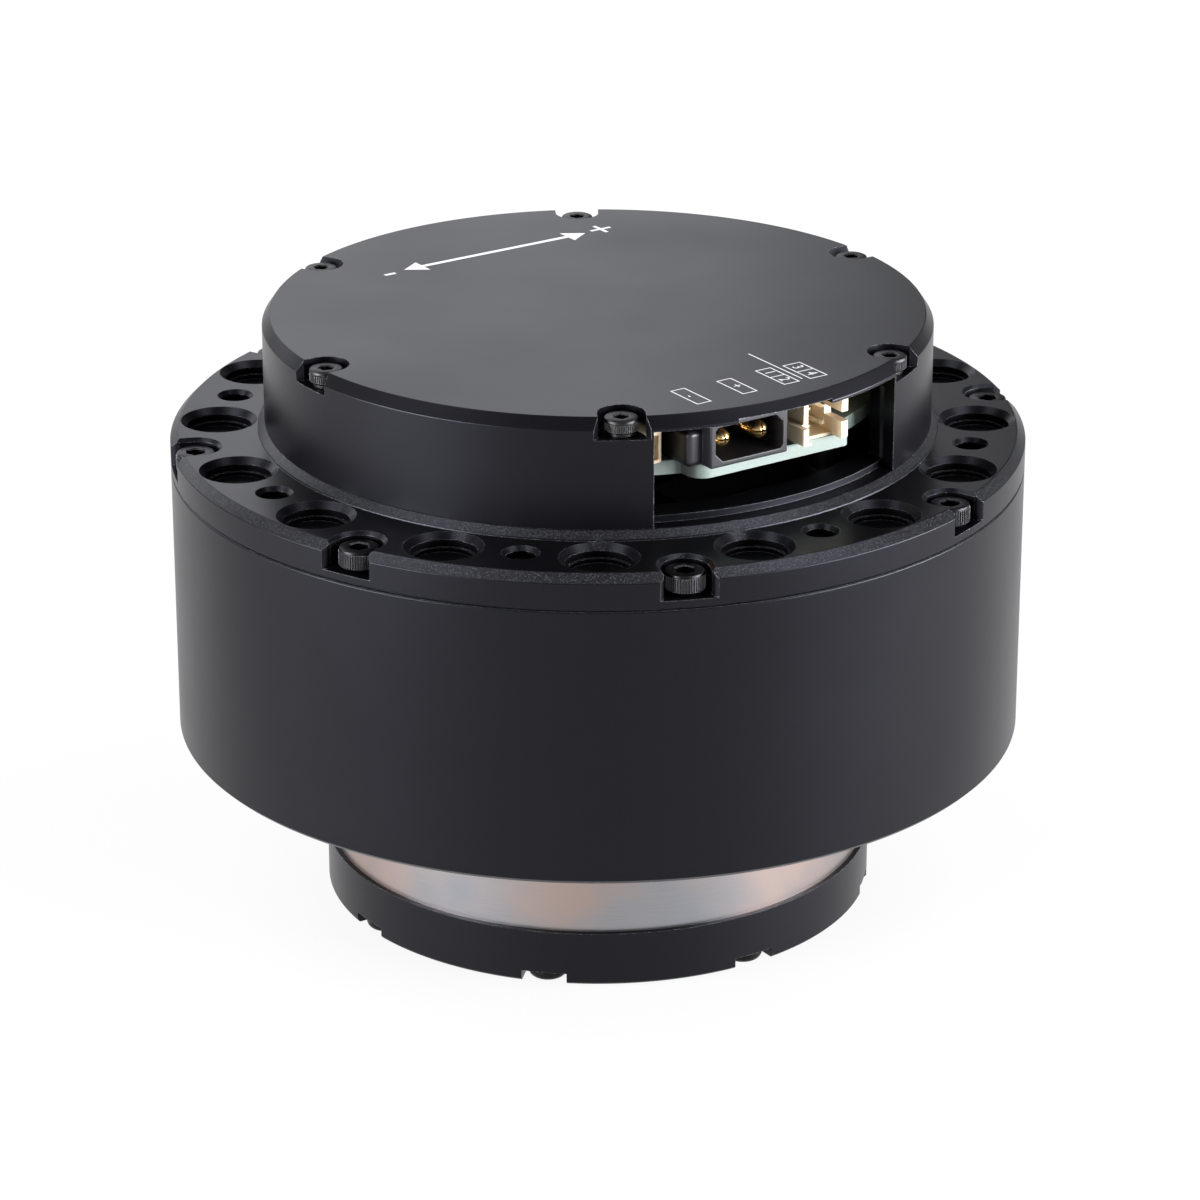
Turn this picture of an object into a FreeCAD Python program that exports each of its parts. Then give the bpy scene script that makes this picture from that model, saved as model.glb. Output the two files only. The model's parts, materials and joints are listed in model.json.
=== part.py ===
import FreeCAD, Part
import math
import os
from types import SimpleNamespace

import Sketcher

# A robot joint actuator: an outrunner motor behind a two-stage planetary gearbox, 36 to 1.
# The origin is the centre of the output face, and +Z runs along the axis towards the rear cover.
# The connector window faces -Y. Polar patterns are counted from +X.

DRIVING = {
    # drum, flange and their seam
    "drum_radius": 49.0, "drum_bore": 45.0, "drum_bottom": 21.0, "drum_floor": 24.5, "drum_edge": 0.5,
    "seam": 52.9, "seam_edge": 0.2, "flange_face": 57.0, "flange_edge": 1.0, "flange_floor": 56.0,
    "flange_underside": 53.5, "boss_radius": 39.0, "boss_face": 58.0, "boss_edge": 0.85,
    "spigot_radius": 36.4, "spigot_face": 58.8, "spigot_bore": 33.0,
    "drum_spigot_depth": 1.5, "drum_spigot_bore": 40.6,
    # rear cover
    "cover_radius": 38.2, "cover_bore": 36.5, "cover_face": 70.6, "cover_plate": 1.6,
    "cover_edge_drop": 1.3, "cover_edge": 0.9, "cover_rim_bore": 32.9, "cover_rim_depth": 1.8,
    "window_half": 16.1, "relief_left": 7.0, "relief_right": 5.2, "relief_depth": 0.5,
    "post_radius": 2.1, "cover_screw_circle": 36.0, "cover_notch_half": 2.6, "cover_notch_depth": 2.4,
    "cover_notch_flare": 0.55,
    # mounting holes, pockets and screw notches of the flange
    "mount_circle": 43.0, "mount_hole": 1.65, "mount_hole_edge": 0.45,
    "pocket_circle": 43.5, "pocket_rim": 4.4, "pocket_radius": 3.7, "pocket_step": 3.4,
    "pocket_depth": 1.5, "pocket_floor": 2.0,
    "rim_screw_circle": 46.4, "rim_notch_half": 2.65, "rim_notch_edge": 0.4, "rim_notch_floor": 53.9,
    # end cap, steel ring and output bearing
    "cap_radius": 32.0, "cap_bottom": 0.5, "cap_edge": 0.3, "cap_lip": 24.0,
    "cap_screw_circle": 29.6, "cap_notch_half": 2.6, "cap_notch_depth": 1.3,
    "steel_radius": 31.4, "steel_bottom": 6.9, "steel_lip": 38.0, "steel_top": 27.5,
    "ring_screw_circle": 34.8, "bearing_outer": 26.0, "bearing_inner": 20.0, "bearing_bottom": 1.9,
    "bearing_width": 7.0, "race_outer_bore": 24.2, "race_inner_rim": 21.8, "ball_circle": 23.0,
    "ball_radius": 1.75, "ball_clearance": 0.03,
    "cage_thickness": 1.2, "cage_inset": 1.0, "cage_gap": 0.1,
    # output carrier
    "output_lip": 21.5, "output_hub": 18.2, "lock_ring_radius": 21.4, "lock_ring_width": 0.9,
    "spanner_notch_half": 1.2, "spanner_notch_depth": 0.9,
    "output_bolt_circle": 15.0, "output_bolt": 1.65, "output_bolt_depth": 7.0, "output_edge": 0.3,
    "pilot_radius": 6.0, "pilot_depth": 3.0, "seal_gap": 0.04, "seal_inset": 0.1,
    # gears
    "gear_module": 0.8, "pressure_angle": 20.0, "sun_teeth": 12.0, "planet_teeth": 24.0,
    "ring_teeth": 60.0, "profile_shift": 0.3, "tooth_thinning": 0.03, "ring_tip": 23.15,
    "planet_count": 3.0, "pin_radius": 3.0, "pin_seat": 3.5, "bush_radius": 4.0, "bush_clearance": 0.03,
    "output_planet_bottom": 10.1, "output_planet_width": 6.5,
    "input_planet_bottom": 20.7, "input_planet_width": 6.2,
    "pin_end": 0.2, "carrier_bottom": 17.3, "carrier_width": 3.0, "carrier_radius": 18.4,
    "sun_hub": 4.0, "nose_radius": 2.5, "nose_bottom": 4.8, "nose_bush_bottom": 4.5,
    # motor
    "web_bottom": 28.4, "web_width": 2.0, "web_hole": 6.0,
    "bell_radius": 44.4, "bell_bore": 42.9, "bell_top": 50.4,
    "shaft_radius": 7.5, "collar_radius": 9.5, "shaft_bore_top": 36.0, "shaft_step": 54.0,
    "shaft_end": 58.9, "shaft_end_radius": 4.5, "shaft_clip_width": 0.9, "shaft_clip_radius": 9.2,
    "magnet_count": 42.0, "magnet_bottom": 33.0, "magnet_length": 17.0, "magnet_width": 5.4,
    "magnet_inner": 41.1, "magnet_thickness": 1.7,
    "core_bottom": 34.0, "core_length": 15.0, "core_radius": 40.5, "core_bore": 26.0, "core_yoke": 29.5,
    "slot_count": 36.0, "tooth_half": 1.6, "shoe_depth": 1.2, "slot_opening": 1.6,
    "coil_inner": 30.8, "coil_length": 7.8, "coil_wire": 0.85, "coil_overhang": 2.5, "coil_clearance": 0.05,
    "race_radius": 12.0, "race_width": 5.0, "tube_radius": 14.5, "tube_bottom": 31.3, "tube_bore": 11.3,
    "front_race_bottom": 33.0, "rear_race_bottom": 47.0, "flange_bore": 10.5, "clip_width": 1.0,
    "clip_depth": 0.6, "clip_bore": 10.6, "hub_recess": 50.5, "hub_bore": 23.5, "hub_shoulder": 27.5,
    "race_ball": 1.4, "race_ball_circle": 9.75, "race_land": 1.5, "clip_groove": 0.4,
    "race_cage_thickness": 0.8, "race_cage_inset": 0.5, "clip_gap_half": 1.5,
    # board and connectors
    "board_bottom": 62.15, "board_width": 1.6, "board_radius": 33.0, "tab_half": 10.25, "tab_front": 34.35,
    "tab_left_corner": 2.0, "tab_right_corner": 0.8, "standoff_circle": 28.0, "standoff_radius": 2.0,
    "stud_length": 2.0, "standoff_bore_depth": 4.0,
    "lead_circle": 31.3, "lead_radius": 0.8, "lead_hole": 1.5,
    "power_left": 9.55, "power_right": 0.65, "power_height": 5.2, "power_front": 35.9, "power_depth": 12.0,
    "power_wall": 0.6, "power_bevel": 1.0, "power_cavity": 8.0, "power_pin": 1.0, "power_pin_pitch": 5.0,
    "shoulder_reach": 2.0, "shoulder_height": 4.2, "shoulder_inset": 1.5, "shoulder_corner": 1.5,
    "signal_left": 2.85, "signal_right": 8.85, "signal_height": 5.1, "signal_front": 35.85,
    "signal_depth": 7.6, "signal_wall": 0.9, "signal_cavity": 5.6, "signal_pin": 0.25,
    "signal_pin_pitch": 2.0, "slot_depth": 3.2, "slot_top": 3.1, "left_slot_bottom": 1.2,
    "right_slot_bottom": 2.0,
    "sensor_left": 15.6, "sensor_right": 12.6, "sensor_height": 3.6, "sensor_front": 31.0,
    "sensor_depth": 5.0, "sensor_wall": 0.4, "sensor_cavity": 4.0, "sensor_pin_pitch": 1.25,
    "sink_half": 9.2, "sink_front": 31.0, "sink_depth": 7.5, "sink_height": 2.0,
    "chip_circle": 19.0, "chip_width": 5.0, "chip_height": 1.0, "encoder_height": 0.7,
    "encoder_magnet_radius": 3.0, "encoder_magnet_bottom": 57.4, "encoder_magnet_width": 2.5,
    # screws
    "screw_shank": 1.25, "screw_head": 2.25, "screw_head_height": 2.5, "screw_socket": 2.0,
    "screw_clearance": 1.4, "screw_edge": 0.25,
    "small_shank": 1.0, "small_head": 1.9, "small_head_height": 2.0, "small_socket": 1.5,
    "small_clearance": 1.15, "board_head_height": 1.3, "button_height": 1.3, "button_dome": 0.9,
    "screw_thread": 8.0, "ring_screw_thread": 2.8, "cap_screw_thread": 6.0, "board_screw_length": 5.0,
    "counterbore_gap": 0.15, "counterbore_depth": 1.5,
}

HEX_CORNER = 1 / math.sqrt(3)
UP = FreeCAD.Vector(0, 0, 1)
FULL_TURN = 360.0
RIM_SCREW_ANGLE = FULL_TURN / 16
OUTPUT_BOLT_ANGLE = FULL_TURN / 12
DEDENDUM = 1.25
SAME_PLACE = 0.01


class Size:
    """A length or angle that knows its number and its expression in the sheet."""

    def __init__(self, number, text):
        self.number = number
        self.text = text

    def joined(self, sign, other, number):
        return Size(number, "(%s %s %s)" % (self.text, sign, getattr(other, "text", other)))

    def __float__(self):
        return self.number

    def __neg__(self):
        return Size(-self.number, "(-%s)" % self.text)

    def __add__(self, other):
        return self.joined("+", other, self.number + float(other))

    def __sub__(self, other):
        return self.joined("-", other, self.number - float(other))

    def __mul__(self, other):
        return self.joined("*", other, self.number * float(other))

    def __truediv__(self, other):
        return self.joined("/", other, self.number / float(other))


document = FreeCAD.newDocument("joint_actuator")
sheet = document.addObject("Spreadsheet::Sheet", "Dimensions")
for row, (name, number) in enumerate(DRIVING.items(), start=1):
    sheet.set("A%d" % row, name)
    sheet.set("B%d" % row, str(number))
    sheet.setAlias("B%d" % row, name)
document.recompute()
dim = SimpleNamespace(**{name: Size(float(sheet.get(name)), "Dimensions." + name) for name in DRIVING})


def bind(item, path, size):
    """Binds a property to the sheet, where its size comes from there."""
    if isinstance(size, Size):
        item.setExpression(path, size.text)


def new_body(label, angle=0):
    """A sub-part's body, turned about the axis by an angle in degrees."""
    body = document.addObject("PartDesign::Body", label)
    body.Label = label
    body.AllowCompound = True
    body.Placement = FreeCAD.Placement(FreeCAD.Vector(), FreeCAD.Rotation(UP, angle))
    return body


def new_sketch(body, name, role="XY_Plane", height=0, along=0, angle=0):
    """A sketch on one of the body's own planes, moved along its normal and out along a turned X."""
    sketch = body.newObject("Sketcher::SketchObject", name)
    plane = next(item for item in body.Origin.OriginFeatures if item.Role == role)
    sketch.AttachmentSupport = [(plane, "")]
    sketch.MapMode = "FlatFace"
    turn = math.radians(angle)
    across, aside = (along * math.cos(turn), along * math.sin(turn)) if angle else (along, 0)
    sketch.AttachmentOffset = FreeCAD.Placement(
        FreeCAD.Vector(float(across), float(aside), float(height)), FreeCAD.Rotation(UP, angle))
    for path, size in (("x", across), ("y", aside), ("z", height)):
        bind(sketch, "AttachmentOffset.Base." + path, size)
    return sketch


def constrain(sketch, constraints):
    """Adds (kind, places..., size) constraints, the last entry being a Size or None."""
    made = []
    for *parts, size in constraints:
        made.append(Sketcher.Constraint(*parts) if size is None else Sketcher.Constraint(*parts, float(size)))
    first = sketch.ConstraintCount
    sketch.addConstraint(made)
    for index, entry in enumerate(constraints, start=first):
        bind(sketch, "Constraints[%d]" % index, entry[-1])


def from_axis(kind, edge, point, size):
    """A point's distance from the sketch's axis, or the point on that axis where it is zero."""
    if float(size) == 0:
        return ("PointOnObject", edge, point, -2 if kind == "DistanceX" else -1, None)
    if float(size) > 0:
        return (kind, -1, 1, edge, point, size)
    return (kind, edge, point, -1, 1, -size)


def draw_outline(sketch, points):
    """A closed outline through (across, up) points, each held by its own dimensions."""
    places = [FreeCAD.Vector(float(across), float(up), 0) for across, up in points]
    first = sketch.GeometryCount
    sketch.addGeometry([Part.LineSegment(start, end) for start, end in zip(places, places[1:] + places[:1])])
    count = len(points)
    held = [("Coincident", first + i, 2, first + (i + 1) % count, 1, None) for i in range(count)]
    for i, (across, up) in enumerate(points, start=first):
        held += [from_axis("DistanceX", i, 1, across), from_axis("DistanceY", i, 1, up)]
    constrain(sketch, held)


def draw_circle(sketch, radius, across=0, up=0):
    """A circle of a radius from the sheet."""
    edge = sketch.GeometryCount
    sketch.addGeometry(Part.Circle(FreeCAD.Vector(float(across), float(up), 0), UP, float(radius)))
    held = [from_axis("DistanceX", edge, 3, across), from_axis("DistanceY", edge, 3, up)]
    constrain(sketch, held + [("Radius", edge, radius)])


def draw_slot(sketch, half_width, reach):
    """A slot that runs outwards along X from a round end centred on the sketch's origin."""
    half, end = float(half_width), float(reach)
    circle = Part.Circle(FreeCAD.Vector(), UP, half)
    corners = [FreeCAD.Vector(*place) for place in ((0, -half), (end, -half), (end, half), (0, half))]
    sketch.addGeometry([Part.ArcOfCircle(circle, math.pi / 2, 3 * math.pi / 2)]
                       + [Part.LineSegment(corners[i], corners[i + 1]) for i in range(3)])
    constrain(sketch, [
        ("Coincident", 0, 3, -1, 1, None), ("Tangent", 0, 2, 1, 1, None), ("Tangent", 3, 2, 0, 1, None),
        ("Coincident", 1, 2, 2, 1, None), ("Coincident", 2, 2, 3, 1, None), ("Horizontal", 1, None),
        ("Horizontal", 3, None), ("Vertical", 2, None), ("Radius", 0, half_width),
        ("DistanceX", -1, 1, 1, 2, reach)])


def add_feature(body, kind, name, sketch, **settings):
    """A feature made from a sketch, which becomes the body's tip."""
    feature = body.newObject("PartDesign::" + kind, name)
    feature.Profile = sketch
    for key, setting in settings.items():
        setattr(feature, key, float(setting) if isinstance(setting, Size) else setting)
        bind(feature, key, setting)
    body.Tip = feature
    return feature


def revolve(body, name, outline, along=0, kind="Revolution"):
    """Turns an outline of (radius, height) points about the axis that stands at along on X."""
    sketch = new_sketch(body, name + "_section", "XZ_Plane", along=along)
    draw_outline(sketch, outline)
    return add_feature(body, kind, name, sketch, ReferenceAxis=(sketch, ["V_Axis"]), Angle=FULL_TURN)


def drill(body, name, along, radius, top, bottom, mouth=0):
    """A round hole from top to bottom, countersunk by mouth at its top."""
    outline = [(0, top), (radius + mouth, top), (radius, top - mouth), (radius, bottom), (0, bottom)]
    if float(mouth) == 0:
        outline.pop(1)
    return revolve(body, name, outline, along, "Groove")


def around(body, name, features, count):
    """Repeats features about the axis."""
    pattern = body.newObject("PartDesign::PolarPattern", name)
    pattern.Originals = features
    axis = next(item for item in body.Origin.OriginFeatures if item.Role == "Z_Axis")
    pattern.Axis = (axis, [""])
    pattern.Angle = FULL_TURN
    pattern.Occurrences = int(float(count))
    bind(pattern, "Occurrences", count)
    body.Tip = pattern
    return pattern


def round_edges(body, name, radius, middles):
    """Fillets those edges of a body's tip whose middles lie at the given (across, aside, up) places."""
    document.recompute()
    tip = body.Tip
    places = [FreeCAD.Vector(*(float(size) for size in middle)) for middle in middles]
    edges = ["Edge%d" % number for number, edge in enumerate(tip.Shape.Edges, start=1)
             if any(edge.CenterOfMass.isEqual(place, SAME_PLACE) for place in places)]
    fillet = body.newObject("PartDesign::Fillet", name)
    fillet.Base = (tip, edges)
    fillet.Radius = float(radius)
    bind(fillet, "Radius", radius)
    body.Tip = fillet


def turned(label, outline, angle=0):
    """A sub-part turned in one piece from an outline of (radius, height) points."""
    body = new_body(label, angle)
    revolve(body, label + "_turned", outline)
    return body


def ring(label, inner, outer, bottom, top):
    """A plain ring."""
    return turned(label, [(inner, bottom), (outer, bottom), (outer, top), (inner, top)])


def clip(label, inner, outer, bottom, top):
    """A sprung clip: a ring with a gap on +X."""
    body = ring(label, inner, outer, bottom, top)
    sketch = new_sketch(body, label + "_gap_outline", height=top)
    half, far = dim.clip_gap_half, outer + dim.clip_width
    draw_outline(sketch, [(0, -half), (far, -half), (far, half), (0, half)])
    add_feature(body, "Pocket", label + "_gap", sketch, Length=top - bottom)
    return body


def bearing_race(label, inner, outer, bottoms, width, ball_circle, ball_radius):
    """A bearing's race, or several on one axis, each grooved for its balls."""
    body = new_body(label)
    for number, bottom in enumerate(bottoms, start=1):
        top = bottom + width
        revolve(body, "%s_ring_%d" % (label, number),
                [(inner, bottom), (outer, bottom), (outer, top), (inner, top)])
        sketch = new_sketch(body, "%s_track_circle_%d" % (label, number), "XZ_Plane")
        draw_circle(sketch, ball_radius + dim.ball_clearance, ball_circle, bottom + width / 2)
        add_feature(body, "Groove", "%s_track_%d" % (label, number), sketch,
                    ReferenceAxis=(sketch, ["V_Axis"]), Angle=FULL_TURN)
    return body


def bearing_balls(label, circle, radius, heights, count):
    """The balls of a bearing, or of several on one axis."""
    body = new_body(label)
    balls = []
    for number, height in enumerate(heights, start=1):
        ball = body.newObject("PartDesign::AdditiveSphere", "%s_ball_%d" % (label, number))
        plane = next(item for item in body.Origin.OriginFeatures if item.Role == "XY_Plane")
        ball.AttachmentSupport = [(plane, "")]
        ball.MapMode = "FlatFace"
        ball.Radius = float(radius)
        bind(ball, "Radius", radius)
        bind(ball, "AttachmentOffset.Base.x", circle)
        bind(ball, "AttachmentOffset.Base.z", height)
        balls.append(ball)
    around(body, label + "_circle", balls, count)
    return body


def bearing_cage(label, circle, thickness, bottoms, width, pocket, count):
    """The cage that spaces the balls of a bearing, or of several on one axis."""
    body = new_body(label)
    pockets = []
    for number, bottom in enumerate(bottoms, start=1):
        inner, outer, top = circle - thickness / 2, circle + thickness / 2, bottom + width
        revolve(body, "%s_ring_%d" % (label, number),
                [(inner, bottom), (outer, bottom), (outer, top), (inner, top)])
        sketch = new_sketch(body, "%s_pocket_circle_%d" % (label, number), "YZ_Plane",
                            height=circle + thickness)
        draw_circle(sketch, pocket, 0, bottom + width / 2)
        pockets.append(add_feature(body, "Pocket", "%s_pocket_%d" % (label, number), sketch,
                                   Length=thickness * 2))
    around(body, label + "_pockets", pockets, count)
    return body


def row_of(label, along, outline, count, angle=0):
    """A circle of like turned pieces."""
    body = new_body(label, angle)
    piece = revolve(body, label + "_piece", outline, along)
    around(body, label + "_circle", [piece], count)
    return body


def screws(label, count, circle, seat, shank, length, head, head_height, socket, facing=1, angle=0,
           dome=0):
    """A circle of socket screws whose heads sit on seat, face up (1) or down (-1), and may be domed."""
    body = new_body(label, angle)
    top = seat + head_height * facing
    outline = [(0, top), (head - dim.screw_edge, top), (head, top - dim.screw_edge * facing), (head, seat),
               (shank, seat), (shank, seat - length * facing), (0, seat - length * facing)]
    if dome:
        outline[1:3] = [(head, top)]
    piece = revolve(body, label + "_turned", outline, circle)
    sketch = new_sketch(body, label + "_hexagon", height=top, along=circle)
    corner, half = socket * HEX_CORNER, socket / 2
    draw_outline(sketch, [(corner, 0), (corner / 2, half), (-(corner / 2), half), (-corner, 0),
                          (-(corner / 2), -half), (corner / 2, -half)])
    hexagon = add_feature(body, "Pocket", label + "_socket", sketch,
                          Length=head_height / 2, Reversed=facing < 0)
    around(body, label + "_circle", [piece, hexagon], count)
    if dome:
        turns = [math.radians(FULL_TURN / count * number) for number in range(count)]
        along = float(circle)
        round_edges(body, label + "_domes", dome,
                    [(along * math.cos(turn), along * math.sin(turn), top) for turn in turns])
    return body


# ---------------------------------------------------------------- casings

def rear_cover():
    """The turned rear cover, with six screw posts and a window for the plugs."""
    d = dim
    plate = d.cover_face - d.cover_plate
    rim = plate - d.cover_rim_depth
    body = turned("rear_cover", [
        (d.cover_radius, d.boss_face), (d.cover_radius, d.cover_face - d.cover_edge_drop),
        (d.cover_radius - d.cover_edge, d.cover_face), (0, d.cover_face), (0, plate),
        (d.cover_rim_bore, plate), (d.cover_rim_bore, rim), (d.cover_bore, rim),
        (d.cover_bore, d.boss_face)])
    sketch = new_sketch(body, "post_circle", height=d.spigot_face, along=d.cover_screw_circle)
    draw_circle(sketch, d.post_radius)
    post = add_feature(body, "Pad", "post", sketch, Length=rim - d.spigot_face + d.relief_depth)
    around(body, "posts", [post], 6)
    sketch = new_sketch(body, "notch_slot", height=d.cover_face, along=d.cover_screw_circle)
    draw_slot(sketch, d.cover_notch_half, d.cover_radius - d.cover_screw_circle + d.flange_edge)
    notch = add_feature(body, "Pocket", "notch", sketch, Length=d.cover_notch_depth)
    sketch = new_sketch(body, "flare_outline", height=d.cover_face)
    inner, outer = d.cover_radius - d.cover_notch_flare * 2, d.cover_radius + d.cover_notch_flare
    wide = d.cover_notch_half + d.cover_notch_flare * 1.5
    draw_outline(sketch, [(inner, d.cover_notch_half), (inner, -d.cover_notch_half), (outer, -wide),
                          (outer, wide)])
    flare = add_feature(body, "Pocket", "flare", sketch, Length=d.cover_notch_depth)
    hole = drill(body, "screw_hole", d.cover_screw_circle, d.small_clearance,
                 d.cover_face - d.cover_notch_depth, d.boss_face)
    around(body, "notches", [notch, flare, hole], 6)
    sketch = new_sketch(body, "window_outline", "XZ_Plane")
    draw_outline(sketch, [(-d.window_half, d.boss_face), (d.window_half, d.boss_face),
                          (d.window_half, plate), (-d.window_half, plate)])
    add_feature(body, "Pocket", "window", sketch, Length=d.drum_radius, Reversed=True)
    sketch = new_sketch(body, "relief_outline", "XZ_Plane")
    top = plate + d.relief_depth
    draw_outline(sketch, [(-d.relief_left, plate), (d.relief_right, plate), (d.relief_right, top),
                          (-d.relief_left, top)])
    add_feature(body, "Pocket", "relief", sketch, Length=d.drum_radius, Reversed=True)
    return body


def rear_flange():
    """The mounting flange, with the tube that holds the rotor's bearings and carries the stator."""
    d = dim
    spigot_bottom = d.seam - d.drum_spigot_depth
    rear_race_top = d.rear_race_bottom + d.race_width
    front_race_top = d.front_race_bottom + d.race_width
    clip_radius = d.race_radius + d.clip_depth
    clip_bottom = d.front_race_bottom - d.clip_width
    body = turned("rear_flange", [
        (d.drum_bore, d.seam), (d.drum_radius - d.seam_edge, d.seam),
        (d.drum_radius, d.seam + d.seam_edge), (d.drum_radius, d.flange_face - d.flange_edge),
        (d.drum_radius - d.flange_edge, d.flange_face), (d.boss_radius, d.flange_face),
        (d.boss_radius, d.boss_face - d.boss_edge), (d.boss_radius - d.boss_edge, d.boss_face),
        (d.spigot_radius, d.boss_face), (d.spigot_radius, d.spigot_face), (d.spigot_bore, d.spigot_face),
        (d.spigot_bore, d.flange_floor), (d.flange_bore, d.flange_floor), (d.flange_bore, rear_race_top),
        (d.race_radius, rear_race_top), (d.race_radius, d.rear_race_bottom),
        (d.tube_bore, d.rear_race_bottom), (d.tube_bore, front_race_top), (d.race_radius, front_race_top),
        (d.race_radius, d.front_race_bottom), (clip_radius, d.front_race_bottom),
        (clip_radius, clip_bottom), (d.race_radius, clip_bottom), (d.race_radius, d.tube_bottom),
        (d.tube_radius, d.tube_bottom), (d.tube_radius, d.hub_recess), (d.hub_bore, d.hub_recess),
        (d.hub_bore, d.core_bottom), (d.core_bore, d.core_bottom),
        (d.core_bore, d.core_bottom + d.core_length), (d.hub_shoulder, d.core_bottom + d.core_length),
        (d.hub_shoulder, d.flange_underside), (d.drum_spigot_bore, d.flange_underside),
        (d.drum_spigot_bore, spigot_bottom), (d.drum_bore, spigot_bottom)])
    mount = drill(body, "mount_hole", d.mount_circle, d.mount_hole, d.flange_face, spigot_bottom,
                  d.mount_hole_edge)
    around(body, "mount_holes", [mount], 8)
    cover_hole = drill(body, "cover_hole", d.cover_screw_circle, d.small_shank, d.spigot_face,
                       d.flange_floor)
    around(body, "cover_holes", [cover_hole], 6)
    stud_hole = drill(body, "stud_hole", -d.standoff_circle, d.small_shank, d.flange_floor,
                      d.flange_floor - d.stud_length)
    around(body, "stud_holes", [stud_hole], 3)
    lead_hole = drill(body, "lead_hole", d.lead_circle, d.lead_hole, d.flange_floor, d.flange_underside)
    around(body, "lead_holes", [lead_hole], 3)
    steps = [("pocket_rim", d.pocket_rim, d.pocket_rim - d.pocket_radius, 45.0),
             ("pocket_wall", d.pocket_radius, d.pocket_depth, 0.0),
             ("pocket_step", d.pocket_step, d.pocket_floor, 0.0)]
    made = []
    for name, radius, depth, taper in steps:
        sketch = new_sketch(body, name + "_circle", height=d.flange_face, along=d.pocket_circle,
                            angle=FULL_TURN / 32)
        draw_circle(sketch, radius)
        made.append(add_feature(body, "Pocket", name, sketch, Length=depth, TaperAngle=-taper))
    around(body, "pockets", made, 16)
    around(body, "rim_notches", rim_notch(body), 8)
    return body


def rim_notch(body):
    """One open notch for a flange screw, with a lightly chamfered rim and its screw's hole."""
    d = dim
    reach = d.drum_radius - d.rim_screw_circle + d.flange_edge
    made = []
    for name, half, depth, taper in (
            ("rim_notch", d.rim_notch_half, d.flange_face - d.rim_notch_floor, 0.0),
            ("rim_notch_edge", d.rim_notch_half + d.rim_notch_edge, d.rim_notch_edge, 45.0)):
        sketch = new_sketch(body, name + "_slot", height=d.flange_face, along=d.rim_screw_circle,
                            angle=RIM_SCREW_ANGLE)
        draw_slot(sketch, half, reach)
        made.append(add_feature(body, "Pocket", name, sketch, Length=depth, TaperAngle=-taper))
    sketch = new_sketch(body, "rim_hole_circle", height=d.rim_notch_floor, along=d.rim_screw_circle,
                        angle=RIM_SCREW_ANGLE)
    draw_circle(sketch, d.screw_clearance)
    made.append(add_feature(body, "Pocket", "rim_hole", sketch, Length=d.rim_notch_floor - d.seam))
    return made


def housing_drum():
    """The drum round the motor, bored at its front for the steel gearbox ring."""
    d = dim
    body = turned("housing_drum", [
        (d.steel_radius, d.drum_bottom), (d.drum_radius - d.drum_edge, d.drum_bottom),
        (d.drum_radius, d.drum_bottom + d.drum_edge), (d.drum_radius, d.seam - d.seam_edge),
        (d.drum_radius - d.seam_edge, d.seam), (d.drum_bore, d.seam), (d.drum_bore, d.drum_floor),
        (d.steel_radius, d.drum_floor)], RIM_SCREW_ANGLE)
    rim_hole = drill(body, "rim_hole", d.rim_screw_circle, d.screw_shank, d.seam,
                     d.seam - d.screw_thread)
    floor_hole = drill(body, "floor_hole", d.ring_screw_circle, d.screw_shank, d.drum_floor,
                       d.drum_floor - d.ring_screw_thread)
    around(body, "screw_holes", [rim_hole, floor_hole], 8)
    return body


def end_cap():
    """The cap over the output bearing, with eight notched screws."""
    d = dim
    body = turned("end_cap", [
        (d.cap_lip, d.cap_bottom), (d.cap_radius - d.cap_edge, d.cap_bottom),
        (d.cap_radius, d.cap_bottom + d.cap_edge), (d.cap_radius, d.steel_bottom),
        (d.bearing_outer, d.steel_bottom), (d.bearing_outer, d.bearing_bottom),
        (d.cap_lip, d.bearing_bottom)])
    sketch = new_sketch(body, "notch_slot", height=d.cap_bottom, along=d.cap_screw_circle)
    draw_slot(sketch, d.cap_notch_half, d.cap_radius - d.cap_screw_circle + d.cap_edge)
    notch = add_feature(body, "Pocket", "notch", sketch, Length=d.cap_notch_depth, Reversed=True)
    hole = drill(body, "hole", d.cap_screw_circle, d.screw_clearance, d.steel_bottom,
                 d.cap_bottom + d.cap_notch_depth)
    around(body, "notches", [notch, hole], 8)
    return body


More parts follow.
